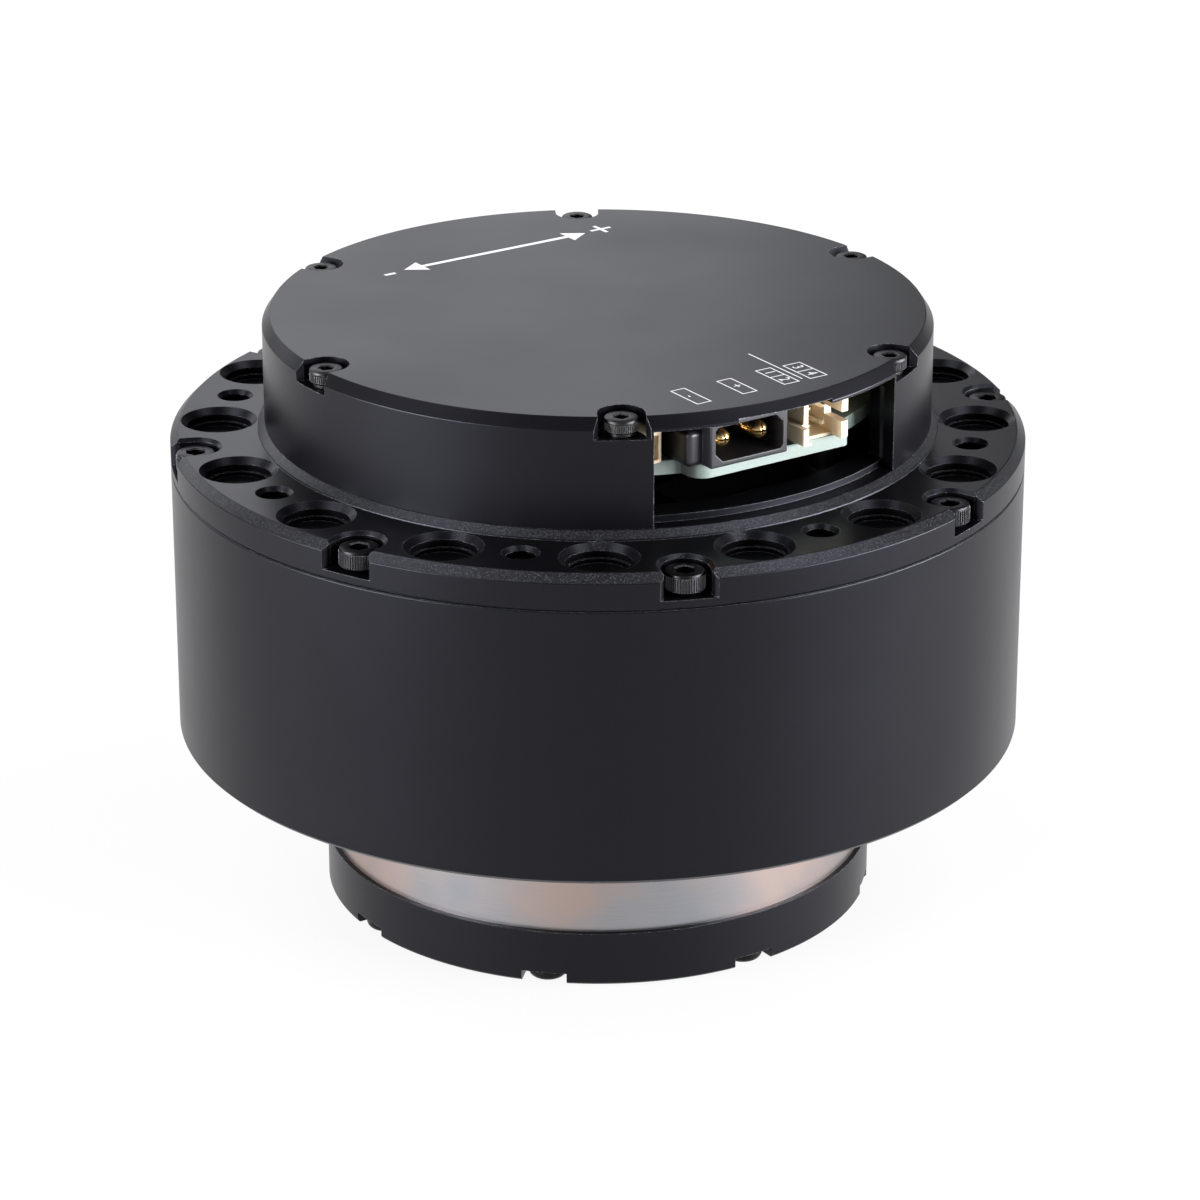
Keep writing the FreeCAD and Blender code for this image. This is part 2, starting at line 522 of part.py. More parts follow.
def ring_gear():
    """The steel ring that both gear stages run in, with the lip that bolts it into the drum."""
    d = dim
    seat_top = d.bearing_bottom + d.bearing_width
    blank = turned("ring_gear_blank", [
        (d.ring_tip, seat_top), (d.bearing_outer, seat_top), (d.bearing_outer, d.steel_bottom),
        (d.steel_radius, d.steel_bottom), (d.steel_radius, d.drum_floor), (d.steel_lip, d.drum_floor),
        (d.steel_lip, d.steel_top), (d.ring_tip, d.steel_top)])
    cap_hole = drill(blank, "cap_hole", d.cap_screw_circle, d.screw_shank, d.steel_bottom,
                     d.steel_bottom + d.cap_screw_thread)
    around(blank, "cap_holes", [cap_hole], 8)
    made = []
    for name, radius, depth in (("counterbore", d.screw_head + d.counterbore_gap, d.counterbore_depth),
                                ("lip_hole", d.screw_clearance, d.steel_top - d.drum_floor)):
        sketch = new_sketch(blank, name + "_circle", height=d.steel_top, along=d.ring_screw_circle,
                            angle=RIM_SCREW_ANGLE)
        draw_circle(sketch, radius)
        made.append(add_feature(blank, "Pocket", name, sketch, Length=depth))
    around(blank, "lip_holes", made, 8)
    document.recompute()
    teeth = int(float(d.ring_teeth))
    spaces = toothed_face(teeth, -float(d.profile_shift), float(d.ring_tip), ring_root(), -1)
    height = float(d.steel_top - d.bearing_bottom)
    broach = shaped("ring_gear_spaces", spaces.extrude(UP * height),
                    FreeCAD.Placement(UP * float(d.bearing_bottom), FreeCAD.Rotation()))
    cut = document.addObject("Part::Cut", "ring_gear")
    cut.Base = blank
    cut.Tool = broach
    return cut


# ---------------------------------------------------------------- gear teeth

def polar(radius, angle):
    """A point at a radius and an angle in radians."""
    return FreeCAD.Vector(radius * math.cos(angle), radius * math.sin(angle), 0)


def involute(radius, base):
    """The involute function of the slope that a tooth's flank has at a radius."""
    slope = math.acos(min(1, base / radius))
    return math.tan(slope) - slope


def ring_root():
    """The radius at the bottom of the ring gear's spaces."""
    module, shift = float(dim.gear_module), float(dim.profile_shift)
    return module * (float(dim.ring_teeth) / 2 + DEDENDUM - shift)


def arc(start, middle, end):
    """An arc through three points."""
    return Part.Arc(start, middle, end).toShape()


def closed_face(one_pitch, count, bore=0):
    """The face inside an outline whose edges repeat count times round the axis."""
    edges = []
    for number in range(count):
        for edge in one_pitch:
            copy = edge.copy()
            copy.rotate(FreeCAD.Vector(), UP, number * FULL_TURN / count)
            edges.append(copy)
    wires = [Part.Wire(Part.__sortEdges__(edges))]
    if bore:
        wires.append(Part.Wire(Part.Circle(FreeCAD.Vector(), UP, bore).toShape()))
    return Part.Face(wires, "Part::FaceMakerBullseye")


def toothed_face(teeth, shift, root, tip, sign=1, bore=0):
    """A toothed wheel's face with a tooth on +X, or with sign -1 the spaces of a ring gear."""
    pressure = math.radians(float(dim.pressure_angle))
    pitch_radius = float(dim.gear_module) * teeth / 2
    base = pitch_radius * math.cos(pressure)
    half_pitch = math.pi / teeth
    at_pitch = (math.pi / 2 + 2 * shift * math.tan(pressure)) / teeth
    at_pitch -= sign * float(dim.tooth_thinning) / pitch_radius

    def half_angle(radius):
        return at_pitch + involute(pitch_radius, base) - involute(radius, base)

    start = max(root, base)
    radii = (start, (start + tip) / 2, tip)
    rising = [polar(radius, -half_angle(radius)) for radius in radii]
    falling = [polar(radius, half_angle(radius)) for radius in reversed(radii)]
    foot = half_angle(start)
    edges = [arc(*rising), arc(rising[-1], polar(tip, 0), falling[0]), arc(*falling),
             arc(polar(root, foot), polar(root, half_pitch), polar(root, 2 * half_pitch - foot))]
    if root < base:
        edges += [Part.LineSegment(polar(root, -foot), rising[0]).toShape(),
                  Part.LineSegment(falling[-1], polar(root, foot)).toShape()]
    return closed_face(edges, teeth, bore)


def shaped(label, shape, placement=None):
    """A sub-part whose shape Part's functions make, since no single feature does."""
    item = document.addObject("Part::Feature", label)
    item.Label = label
    item.Shape = shape
    item.Placement = placement or FreeCAD.Placement()
    return item


def gear_radii(teeth, shift):
    """A gear's root and tip radii."""
    module = float(dim.gear_module)
    return module * (teeth / 2 - DEDENDUM + shift), module * (teeth / 2 + 1 + shift)


def sun_gear(label, bottom, top, stubs):
    """A sun gear cut on a spindle, with a space on +X; stubs are its (radius, bottom, top) journals."""
    teeth, shift = int(float(dim.sun_teeth)), float(dim.profile_shift)
    face = toothed_face(teeth, shift, *gear_radii(teeth, shift))
    solid = face.extrude(UP * float(top - bottom))
    solid.rotate(FreeCAD.Vector(), UP, FULL_TURN / teeth / 2)
    solid.translate(UP * float(bottom))
    journals = [Part.makeCylinder(float(radius), float(high - low), UP * float(low))
                for radius, low, high in stubs]
    return shaped(label, solid.fuse(journals).removeSplitter())


def planets(stage, bottom, width):
    """The three planet gears of a stage with their bushes, each with a tooth pointing outwards."""
    d = dim
    teeth, shift = int(float(d.planet_teeth)), -float(d.profile_shift)
    face = toothed_face(teeth, shift, *gear_radii(teeth, shift), bore=float(d.bush_radius))
    solid = face.extrude(UP * float(width))
    centre = float(d.gear_module * (d.sun_teeth + d.planet_teeth) / 2)
    count = int(float(d.planet_count))
    made = []
    for number in range(count):
        turn = FreeCAD.Rotation(UP, number * FULL_TURN / count)
        place = FreeCAD.Placement(turn.multVec(FreeCAD.Vector(centre, 0, float(bottom))), turn)
        made.append(shaped("%s_planet_%d" % (stage, number + 1), solid, place))
        bush = ring("%s_bush_%d" % (stage, number + 1), d.pin_radius + d.bush_clearance, d.bush_radius,
                    0, width)
        bush.Placement = place
        made.append(bush)
    return made


# ---------------------------------------------------------------- gearbox

def output_stage():
    """The output carrier on its bearing, with its pins, planets, lock ring and seal."""
    d = dim
    race_top = d.bearing_bottom + d.bearing_width
    hub_top = race_top + d.lock_ring_width
    planet_top = d.output_planet_bottom + d.output_planet_width
    circle = d.gear_module * (d.sun_teeth + d.planet_teeth) / 2
    carrier = turned("output_carrier", [
        (d.pilot_radius, 0), (d.output_lip - d.output_edge, 0), (d.output_lip, d.output_edge),
        (d.output_lip, d.bearing_bottom), (d.bearing_inner, d.bearing_bottom),
        (d.bearing_inner, race_top), (d.output_hub, race_top), (d.output_hub, hub_top),
        (d.bush_radius, hub_top), (d.bush_radius, d.nose_bush_bottom), (0, d.nose_bush_bottom),
        (0, d.pilot_depth), (d.pilot_radius, d.pilot_depth)])
    pin_hole = drill(carrier, "pin_hole", circle, d.pin_radius, hub_top, d.pin_seat)
    around(carrier, "pin_holes", [pin_hole], d.planet_count)
    sketch = new_sketch(carrier, "bolt_circle", along=d.output_bolt_circle, angle=OUTPUT_BOLT_ANGLE)
    draw_circle(sketch, d.output_bolt)
    bolt = add_feature(carrier, "Pocket", "bolt_hole", sketch, Length=d.output_bolt_depth, Reversed=True)
    around(carrier, "bolt_holes", [bolt], 6)
    pins = row_of("output_planet_pins", circle,
                  [(0, d.pin_seat), (d.pin_radius, d.pin_seat), (d.pin_radius, planet_top + d.pin_end),
                   (0, planet_top + d.pin_end)], d.planet_count)
    lock_ring = ring("output_lock_ring", d.output_hub, d.lock_ring_radius, race_top, hub_top)
    sketch = new_sketch(lock_ring, "spanner_notch_outline", height=hub_top)
    inner, outer = d.lock_ring_radius - d.spanner_notch_depth, d.lock_ring_radius + d.spanner_notch_depth
    half = d.spanner_notch_half
    draw_outline(sketch, [(inner, -half), (outer, -half), (outer, half), (inner, half)])
    notch = add_feature(lock_ring, "Pocket", "spanner_notch", sketch, Length=d.lock_ring_width)
    around(lock_ring, "spanner_notches", [notch], 4)
    middle = d.bearing_bottom + d.bearing_width / 2
    return [
        carrier, pins, lock_ring,
        bearing_race("output_bearing_outer_race", d.race_outer_bore, d.bearing_outer,
                     [d.bearing_bottom], d.bearing_width, d.ball_circle, d.ball_radius),
        bearing_race("output_bearing_inner_race", d.bearing_inner, d.race_inner_rim,
                     [d.bearing_bottom], d.bearing_width, d.ball_circle, d.ball_radius),
        bearing_balls("output_bearing_balls", d.ball_circle, d.ball_radius, [middle], 18),
        bearing_cage("output_bearing_cage", d.ball_circle, d.cage_thickness,
                     [d.bearing_bottom + d.cage_inset], d.bearing_width - d.cage_inset * 2,
                     d.ball_radius + d.cage_gap, 18),
        ring("output_seal", d.output_lip + d.seal_gap, d.cap_lip, d.cap_bottom + d.seal_inset,
             d.bearing_bottom - d.seal_inset),
        ring("spindle_bush", d.nose_radius + d.bush_clearance, d.bush_radius, d.nose_bush_bottom,
             hub_top - d.pin_end),
    ] + planets("output", d.output_planet_bottom, d.output_planet_width)


def input_stage():
    """The floating input carrier with the second sun gear, and its planets."""
    d = dim
    carrier_top = d.carrier_bottom + d.carrier_width
    pin_top = d.input_planet_bottom + d.input_planet_width + d.pin_end
    circle = d.gear_module * (d.sun_teeth + d.planet_teeth) / 2
    carrier = ring("input_carrier", d.sun_hub, d.carrier_radius, d.carrier_bottom, carrier_top)
    pin_hole = drill(carrier, "pin_hole", circle, d.pin_radius, carrier_top, d.carrier_bottom)
    around(carrier, "pin_holes", [pin_hole], d.planet_count)
    return [
        carrier,
        row_of("input_planet_pins", circle,
               [(0, d.carrier_bottom), (d.pin_radius, d.carrier_bottom), (d.pin_radius, pin_top),
                (0, pin_top)], d.planet_count),
        sun_gear("output_sun_gear", d.output_planet_bottom - d.pin_end, d.carrier_bottom,
                 [(d.nose_radius, d.nose_bottom, d.output_planet_bottom - d.pin_end),
                  (d.sun_hub, d.carrier_bottom, carrier_top)]),
    ] + planets("input", d.input_planet_bottom, d.input_planet_width)


# ---------------------------------------------------------------- motor

def rotor():
    """The outrunner's rotor: shaft, input sun gear, bell and magnets."""
    d = dim
    web_top = d.web_bottom + d.web_width
    race_top = d.rear_race_bottom + d.race_width
    clip_top = race_top + d.shaft_clip_width
    groove = d.shaft_radius - d.clip_groove
    shaft = turned("rotor_shaft", [
        (d.sun_hub, d.web_bottom), (d.shaft_radius, d.web_bottom), (d.shaft_radius, web_top),
        (d.collar_radius, web_top), (d.collar_radius, d.front_race_bottom),
        (d.shaft_radius, d.front_race_bottom), (d.shaft_radius, race_top), (groove, race_top),
        (groove, clip_top), (d.shaft_radius, clip_top), (d.shaft_radius, d.shaft_step),
        (d.shaft_end_radius, d.shaft_step), (d.shaft_end_radius, d.shaft_end),
        (d.encoder_magnet_radius, d.shaft_end), (d.encoder_magnet_radius, d.encoder_magnet_bottom),
        (0, d.encoder_magnet_bottom), (0, d.shaft_bore_top), (d.sun_hub, d.shaft_bore_top)])
    bell = turned("rotor_bell", [
        (d.shaft_radius, d.web_bottom), (d.bell_radius, d.web_bottom), (d.bell_radius, d.bell_top),
        (d.bell_bore, d.bell_top), (d.bell_bore, web_top), (d.shaft_radius, web_top)])
    window = drill(bell, "web_hole", (d.shaft_radius + d.bell_bore) / 2, d.web_hole, web_top,
                   d.web_bottom)
    around(bell, "web_holes", [window], 8)
    magnets = new_body("rotor_magnets")
    sketch = new_sketch(magnets, "magnet_outline", height=d.magnet_bottom)
    outer, half = d.magnet_inner + d.magnet_thickness, d.magnet_width / 2
    draw_outline(sketch, [(d.magnet_inner, -half), (outer, -half), (outer, half),
                          (d.magnet_inner, half)])
    magnet = add_feature(magnets, "Pad", "magnet", sketch, Length=d.magnet_length)
    around(magnets, "magnet_circle", [magnet], d.magnet_count)
    sun_top = d.input_planet_bottom + d.input_planet_width + d.pin_end
    return [
        shaft, bell, magnets,
        sun_gear("input_sun_gear", d.input_planet_bottom - d.bush_clearance, sun_top,
                 [(d.sun_hub, sun_top, d.shaft_bore_top)]),
        clip("shaft_clip", groove, d.shaft_clip_radius, race_top, clip_top),
        turned("encoder_magnet", [
            (0, d.encoder_magnet_bottom), (d.encoder_magnet_radius, d.encoder_magnet_bottom),
            (d.encoder_magnet_radius, d.encoder_magnet_bottom + d.encoder_magnet_width),
            (0, d.encoder_magnet_bottom + d.encoder_magnet_width)])]


def rotor_bearings():
    """The two bearings in the flange's tube, and the clip that keeps them in."""
    d = dim
    bottoms = [d.front_race_bottom, d.rear_race_bottom]
    middles = [bottom + d.race_width / 2 for bottom in bottoms]
    return [
        bearing_race("rotor_bearing_outer_races", d.race_radius - d.race_land, d.race_radius, bottoms,
                     d.race_width, d.race_ball_circle, d.race_ball),
        bearing_race("rotor_bearing_inner_races", d.shaft_radius, d.shaft_radius + d.race_land, bottoms,
                     d.race_width, d.race_ball_circle, d.race_ball),
        bearing_balls("rotor_bearing_balls", d.race_ball_circle, d.race_ball, middles, 11),
        bearing_cage("rotor_bearing_cages", d.race_ball_circle, d.race_cage_thickness,
                     [bottom + d.race_cage_inset for bottom in bottoms],
                     d.race_width - d.race_cage_inset * 2, d.race_ball + d.cage_gap, 11),
        clip("bearing_clip", d.clip_bore, d.race_radius + d.clip_depth,
             d.front_race_bottom - d.clip_width, d.front_race_bottom)]


def stator():
    """The laminated stator core on the flange's hub, with a coil on each of its teeth."""
    d = dim
    count, radius = int(float(d.slot_count)), float(d.core_radius)
    half_pitch = math.pi / count
    shoe_angle = half_pitch - float(d.slot_opening) / 2 / radius
    yoke, half = float(d.core_yoke), float(d.tooth_half)
    neck = radius - float(d.shoe_depth)
    side = [FreeCAD.Vector(math.sqrt(yoke ** 2 - half ** 2), half, 0), FreeCAD.Vector(neck, half, 0),
            polar(radius - float(d.shoe_depth) / 2, shoe_angle), polar(radius, shoe_angle)]
    mirrored = [FreeCAD.Vector(place.x, -place.y, 0) for place in side]
    edges = [Part.LineSegment(start, end).toShape()
             for places in (side, mirrored) for start, end in zip(places, places[1:])]
    next_foot = FreeCAD.Rotation(UP, FULL_TURN / count).multVec(mirrored[0])
    edges += [arc(mirrored[-1], polar(radius, 0), side[-1]),
              arc(side[0], polar(yoke, half_pitch), next_foot)]
    face = closed_face(edges, count, float(d.core_bore))
    core = shaped("stator_core", face.extrude(UP * float(d.core_length)),
                  FreeCAD.Placement(UP * float(d.core_bottom), FreeCAD.Rotation()))
    coils = new_body("stator_windings")
    sketch = new_sketch(coils, "coil_outline", "YZ_Plane", height=d.coil_inner)
    core_top = d.core_bottom + d.core_length
    for gap, overhang in ((d.coil_clearance, d.coil_clearance),
                          (d.coil_clearance + d.coil_wire, d.coil_overhang)):
        wide = d.tooth_half + gap
        draw_outline(sketch, [(-wide, d.core_bottom - overhang), (wide, d.core_bottom - overhang),
                              (wide, core_top + overhang), (-wide, core_top + overhang)])
    coil = add_feature(coils, "Pad", "coil", sketch, Length=d.coil_length)
    around(coils, "coil_circle", [coil], d.slot_count)
    coil_top = core_top + d.coil_overhang
    leads = row_of("phase_leads", d.lead_circle,
                   [(0, coil_top), (d.lead_radius, coil_top), (d.lead_radius, d.board_bottom),
                    (0, d.board_bottom)], 3)
    return [core, coils, leads]


# ---------------------------------------------------------------- electronics

def block(body, name, left, right, bottom, top, front, depth, kind="Pad", bevel=0):
    """Adds or cuts a box that reaches back from its front at -Y, its left side's corners bevelled."""
    outline = [(left, bottom), (right, bottom), (right, top), (left, top)]
    if bevel:
        outline[3:] = [(left + bevel, top), (left, top - bevel), (left, bottom + bevel)]
        outline[0] = (left + bevel, bottom)
        outline = [outline[-1]] + outline[:-1]
    sketch = new_sketch(body, name + "_outline", "XZ_Plane", height=front - depth if kind == "Pad" else front)
    draw_outline(sketch, outline)
    add_feature(body, kind, name, sketch, Length=depth)


def plug_housing(label, left, right, height, front, depth, wall, cavity, bevel=0):
    """A board-edge plug: an open-fronted housing that stands on the board."""
    bottom = dim.board_bottom + dim.board_width
    top = bottom + height
    body = new_body(label)
    block(body, "housing", left, right, bottom, top, front, depth)
    block(body, "cavity", left + wall, right - wall, bottom + wall, top - wall, front, cavity, "Pocket",
          bevel)
    return body


def plug_pins(label, left, right, height, front, cavity, radius, pitch, inset, rows=1):
    """The pins inside a plug, two to a row."""
    middle = (left + right) / 2
    up = dim.board_bottom + dim.board_width + height / 2
    body = new_body(label)
    sketch = new_sketch(body, "pin_circles", "XZ_Plane", height=front - cavity)
    for row in range(rows):
        level = up + pitch * row - pitch * (rows - 1) / 2
        draw_circle(sketch, radius, middle - pitch / 2, level)
        draw_circle(sketch, radius, middle + pitch / 2, level)
    add_feature(body, "Pad", "pins", sketch, Length=cavity - inset)
    return body


def power_plug():
    """The power plug, whose shoulder stands out on its left behind the face."""
    d = dim
    bottom = d.board_bottom + d.board_width
    body = plug_housing("power_connector", -d.power_left, d.power_right, d.power_height, d.power_front,
                        d.power_depth, d.power_wall, d.power_cavity, d.power_bevel)
    left, front = -(d.power_left + d.shoulder_reach), d.power_front - d.shoulder_inset
    block(body, "shoulder", left, -d.power_left + d.power_wall, bottom, bottom + d.shoulder_height,
          front, d.power_depth - d.shoulder_inset)
    round_edges(body, "shoulder_corner", d.shoulder_corner,
                [(left, -front, bottom + d.shoulder_height / 2)])
    return body


def signal_plug():
    """The four-pin signal plug, with a slot at the front of each side wall."""
    d = dim
    bottom = d.board_bottom + d.board_width
    body = plug_housing("signal_connector", d.signal_left, d.signal_right, d.signal_height,
                        d.signal_front, d.signal_depth, d.signal_wall, d.signal_cavity)
    for side, left, right, low in (
            ("left", d.signal_left, d.signal_left + d.signal_wall, d.left_slot_bottom),
            ("right", d.signal_right - d.signal_wall, d.signal_right, d.right_slot_bottom)):
        block(body, side + "_slot", left, right, bottom + low, bottom + d.slot_top, d.signal_front,
              d.slot_depth, "Pocket")
    return body


def electronics():
    """The driver board on its standoffs, with its chips, heat sink and plugs."""
    d = dim
    board_top = d.board_bottom + d.board_width
    board = turned("driver_board", [(0, d.board_bottom), (d.board_radius, d.board_bottom),
                                    (d.board_radius, board_top), (0, board_top)])
    sketch = new_sketch(board, "tab_outline", height=d.board_bottom)
    back = -(d.tab_front - d.power_depth)
    draw_outline(sketch, [(-d.tab_half, -d.tab_front), (d.tab_half, -d.tab_front), (d.tab_half, back),
                          (-d.tab_half, back)])
    add_feature(board, "Pad", "tab", sketch, Length=d.board_width)
    middle = d.board_bottom + d.board_width / 2
    round_edges(board, "tab_left", d.tab_left_corner, [(-d.tab_half, -d.tab_front, middle)])
    round_edges(board, "tab_right", d.tab_right_corner, [(d.tab_half, -d.tab_front, middle)])
    hole = drill(board, "screw_hole", -d.standoff_circle, d.small_clearance, board_top, d.board_bottom)
    around(board, "screw_holes", [hole], 3)
    bore_bottom = d.board_bottom - d.standoff_bore_depth
    standoffs = row_of("board_standoffs", -d.standoff_circle, [
        (0, d.flange_floor - d.stud_length), (d.small_shank, d.flange_floor - d.stud_length),
        (d.small_shank, d.flange_floor), (d.standoff_radius, d.flange_floor),
        (d.standoff_radius, d.board_bottom), (d.small_shank, d.board_bottom),
        (d.small_shank, bore_bottom), (0, bore_bottom)], 3)
    chips = new_body("board_chips")
    sketch = new_sketch(chips, "chip_outline", height=board_top)
    half = d.chip_width / 2
    draw_outline(sketch, [(d.chip_circle - half, -half), (d.chip_circle + half, -half),
                          (d.chip_circle + half, half), (d.chip_circle - half, half)])
    chip = add_feature(chips, "Pad", "chip", sketch, Length=d.chip_height)
    around(chips, "chip_circle", [chip], 6)
    sketch = new_sketch(chips, "encoder_outline", height=d.board_bottom)
    draw_outline(sketch, [(-half, -half), (half, -half), (half, half), (-half, half)])
    add_feature(chips, "Pad", "encoder_chip", sketch, Length=d.encoder_height, Reversed=True)
    heat_sink = new_body("heat_sink")
    block(heat_sink, "bar", -d.sink_half, d.sink_half, d.flange_floor, d.flange_floor + d.sink_height,
          d.sink_front, d.sink_depth)
    return [
        board, standoffs, chips,
        screws("board_screws", 3, -d.standoff_circle, board_top, d.small_shank, d.board_screw_length,
               d.small_head, d.board_head_height, d.small_socket),
        heat_sink, power_plug(), signal_plug(),
        plug_pins("power_pins", -d.power_left, d.power_right, d.power_height, d.power_front,
                  d.power_cavity, d.power_pin, d.power_pin_pitch, d.power_pin),
        plug_pins("signal_pins", d.signal_left, d.signal_right, d.signal_height, d.signal_front,
                  d.signal_cavity, d.signal_pin, d.signal_pin_pitch, d.signal_wall, rows=2),
        plug_housing("sensor_connector", -d.sensor_left, -d.sensor_right, d.sensor_height,
                     d.sensor_front, d.sensor_depth, d.sensor_wall, d.sensor_cavity),
        plug_pins("sensor_pins", -d.sensor_left, -d.sensor_right, d.sensor_height, d.sensor_front,
                  d.sensor_cavity, d.signal_pin, d.sensor_pin_pitch, d.sensor_wall)]


def casing_screws():
    """The screws of the cover, the flange, the steel ring and the end cap."""
    d = dim
    cap_seat = d.cap_bottom + d.cap_notch_depth
    return [
        screws("cover_screws", 6, d.cover_screw_circle, d.cover_face - d.cover_notch_depth,
               d.small_shank, d.cover_face - d.cover_notch_depth - d.flange_floor, d.small_head,
               d.small_head_height, d.small_socket),
        screws("flange_screws", 8, d.rim_screw_circle, d.rim_notch_floor, d.screw_shank,
               d.rim_notch_floor - d.seam + d.screw_thread, d.screw_head, d.screw_head_height,
               d.screw_socket, angle=RIM_SCREW_ANGLE),
        screws("ring_gear_screws", 8, d.ring_screw_circle, d.steel_top - d.counterbore_depth,
               d.screw_shank, d.steel_top - d.counterbore_depth - d.drum_floor + d.ring_screw_thread,
               d.screw_head, d.counterbore_depth - d.screw_edge, d.screw_socket,
               angle=RIM_SCREW_ANGLE),
        screws("end_cap_screws", 8, d.cap_screw_circle, cap_seat, d.screw_shank,
               d.steel_bottom - cap_seat + d.cap_screw_thread, d.screw_head, d.button_height,
               d.screw_socket, facing=-1, dome=d.button_dome)]


subparts = [rear_cover(), rear_flange(), housing_drum(), end_cap(), ring_gear()]
subparts += casing_screws() + output_stage() + input_stage()
subparts += rotor() + rotor_bearings() + stator() + electronics()

document.recompute()
for item in document.Objects:
    if "Invalid" in item.State or "Error" in item.State:
        raise SystemExit("%s failed: %s" % (item.Label, item.State))
os.makedirs("parts", exist_ok=True)
for item in subparts:
    if item.Shape.isNull() or not item.Shape.isValid():
        raise SystemExit("%s has no valid shape" % item.Label)
    item.Shape.exportStep("parts/%s.step" % item.Label)
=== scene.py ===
import json
import math

import bmesh
import bpy
from mathutils import Matrix, Vector


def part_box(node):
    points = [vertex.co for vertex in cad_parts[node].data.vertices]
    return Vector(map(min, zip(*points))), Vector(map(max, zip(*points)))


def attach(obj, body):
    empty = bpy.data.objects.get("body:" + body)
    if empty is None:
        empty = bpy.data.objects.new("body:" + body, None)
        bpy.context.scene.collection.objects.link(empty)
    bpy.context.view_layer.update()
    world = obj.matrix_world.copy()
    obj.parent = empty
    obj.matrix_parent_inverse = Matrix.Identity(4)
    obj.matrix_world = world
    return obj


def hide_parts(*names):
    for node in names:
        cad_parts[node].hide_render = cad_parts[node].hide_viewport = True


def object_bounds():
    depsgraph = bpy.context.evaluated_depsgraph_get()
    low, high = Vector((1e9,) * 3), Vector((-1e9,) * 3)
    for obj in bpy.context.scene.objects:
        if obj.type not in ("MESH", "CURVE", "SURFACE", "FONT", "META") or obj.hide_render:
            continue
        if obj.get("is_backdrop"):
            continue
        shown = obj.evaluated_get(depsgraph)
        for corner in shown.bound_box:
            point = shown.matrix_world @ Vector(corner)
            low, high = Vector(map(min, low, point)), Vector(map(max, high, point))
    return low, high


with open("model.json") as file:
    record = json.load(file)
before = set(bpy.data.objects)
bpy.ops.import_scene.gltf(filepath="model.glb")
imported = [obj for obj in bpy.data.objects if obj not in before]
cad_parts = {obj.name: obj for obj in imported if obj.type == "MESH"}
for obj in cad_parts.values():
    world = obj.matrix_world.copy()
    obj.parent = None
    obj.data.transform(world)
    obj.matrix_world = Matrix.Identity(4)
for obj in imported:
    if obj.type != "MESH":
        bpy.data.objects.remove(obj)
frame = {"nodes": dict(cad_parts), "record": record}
cad_low, cad_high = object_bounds()

# ---------------------------------------------------------------- studio
# A flat white sheet under the standing actuator, with a long lens above it and five soft boxes
# round it. The sheet shows as plain white, also where metal mirrors it, and keeps a shadow. It
# can be looked through from below, so that the output face shows from there.
MM = 0.001
AZIMUTH = math.radians(-34.0)
ELEVATION = math.radians(21.92)
DISTANCE = 550.2
LENS = 141.5
SENSOR_WIDTH = 36.0
AIM_HEIGHT = 34.57
AIM_RIGHT = 0.25
FLOOR_SIZE = 6000.0
FLOOR_WHITE = "#F4F4F4"
FLOOR_GLOW = 0.9
FLOOR_GAP = 0.05
WORLD_LEVEL = 0.22
SOFT_BOXES = [
    # name, bearing from the camera in degrees, rise in degrees, distance, width, height, power
    ("back_box", -153.0, 27.0, 800.0, 920.0, 500.0, 2.4),
    ("left_box", -62.0, 6.0, 1000.0, 700.0, 300.0, 26.0),
    ("right_box", 76.0, 6.0, 1000.0, 900.0, 300.0, 40.0),
    ("upper_left_box", -82.0, 60.0, 1000.0, 450.0, 450.0, 3.2),
    ("upper_right_box", 80.0, 60.0, 1000.0, 450.0, 450.0, 3.2),
]
LAMP_TINT = "#F7F8FF"


def linear(code):
    """An sRGB hex colour as linear red, green, blue and alpha."""
    parts = [int(code[start:start + 2], 16) / 255 for start in (1, 3, 5)]
    return [part / 12.92 if part <= 0.04045 else ((part + 0.055) / 1.055) ** 2.4
            for part in parts] + [1.0]


def add_node(tree, kind, inputs=(), **settings):
    """Adds a node of a kind; each input takes a plain value or another node's output."""
    node = tree.nodes.new("ShaderNode" + kind)
    for name, value in settings.items():
        setattr(node, name, value)
    for name, value in dict(inputs).items():
        if isinstance(value, bpy.types.NodeSocket):
            tree.links.new(value, node.inputs[name])
        else:
            node.inputs[name].default_value = value
    return node


def empty_material(name):
    """A material with no nodes yet, and its tree."""
    material = bpy.data.materials.new(name)
    material.use_nodes = True
    material.node_tree.nodes.clear()
    return material, material.node_tree


def seen_plainly(tree):
    """1 for rays from the camera, and for those mirrored or bent on their way, as a factor."""
    path = add_node(tree, "LightPath").outputs
    either = add_node(tree, "Math", {0: path["Is Camera Ray"], 1: path["Is Glossy Ray"]},
                      operation="MAXIMUM")
    return add_node(tree, "Math", {0: either.outputs[0], 1: path["Is Transmission Ray"]},
                    operation="MAXIMUM").outputs[0]


def toward(bearing, rise):
    """A unit vector at a bearing from the camera's own, turned rightwards, and a rise."""
    turn = AZIMUTH + bearing
    return Vector((math.sin(turn) * math.cos(rise), -math.cos(turn) * math.cos(rise), math.sin(rise)))


target = Vector((math.cos(AZIMUTH) * AIM_RIGHT, math.sin(AZIMUTH) * AIM_RIGHT, AIM_HEIGHT)) * MM
camera = bpy.data.objects.new("camera", bpy.data.cameras.new("camera"))
camera.data.lens = LENS
camera.data.sensor_width = SENSOR_WIDTH
camera.data.clip_start = 10 * MM
camera.location = target + toward(0.0, ELEVATION) * DISTANCE * MM
camera.rotation_euler = toward(0.0, ELEVATION).to_track_quat("Z", "Y").to_euler()
bpy.context.scene.collection.objects.link(camera)
bpy.context.scene.camera = camera

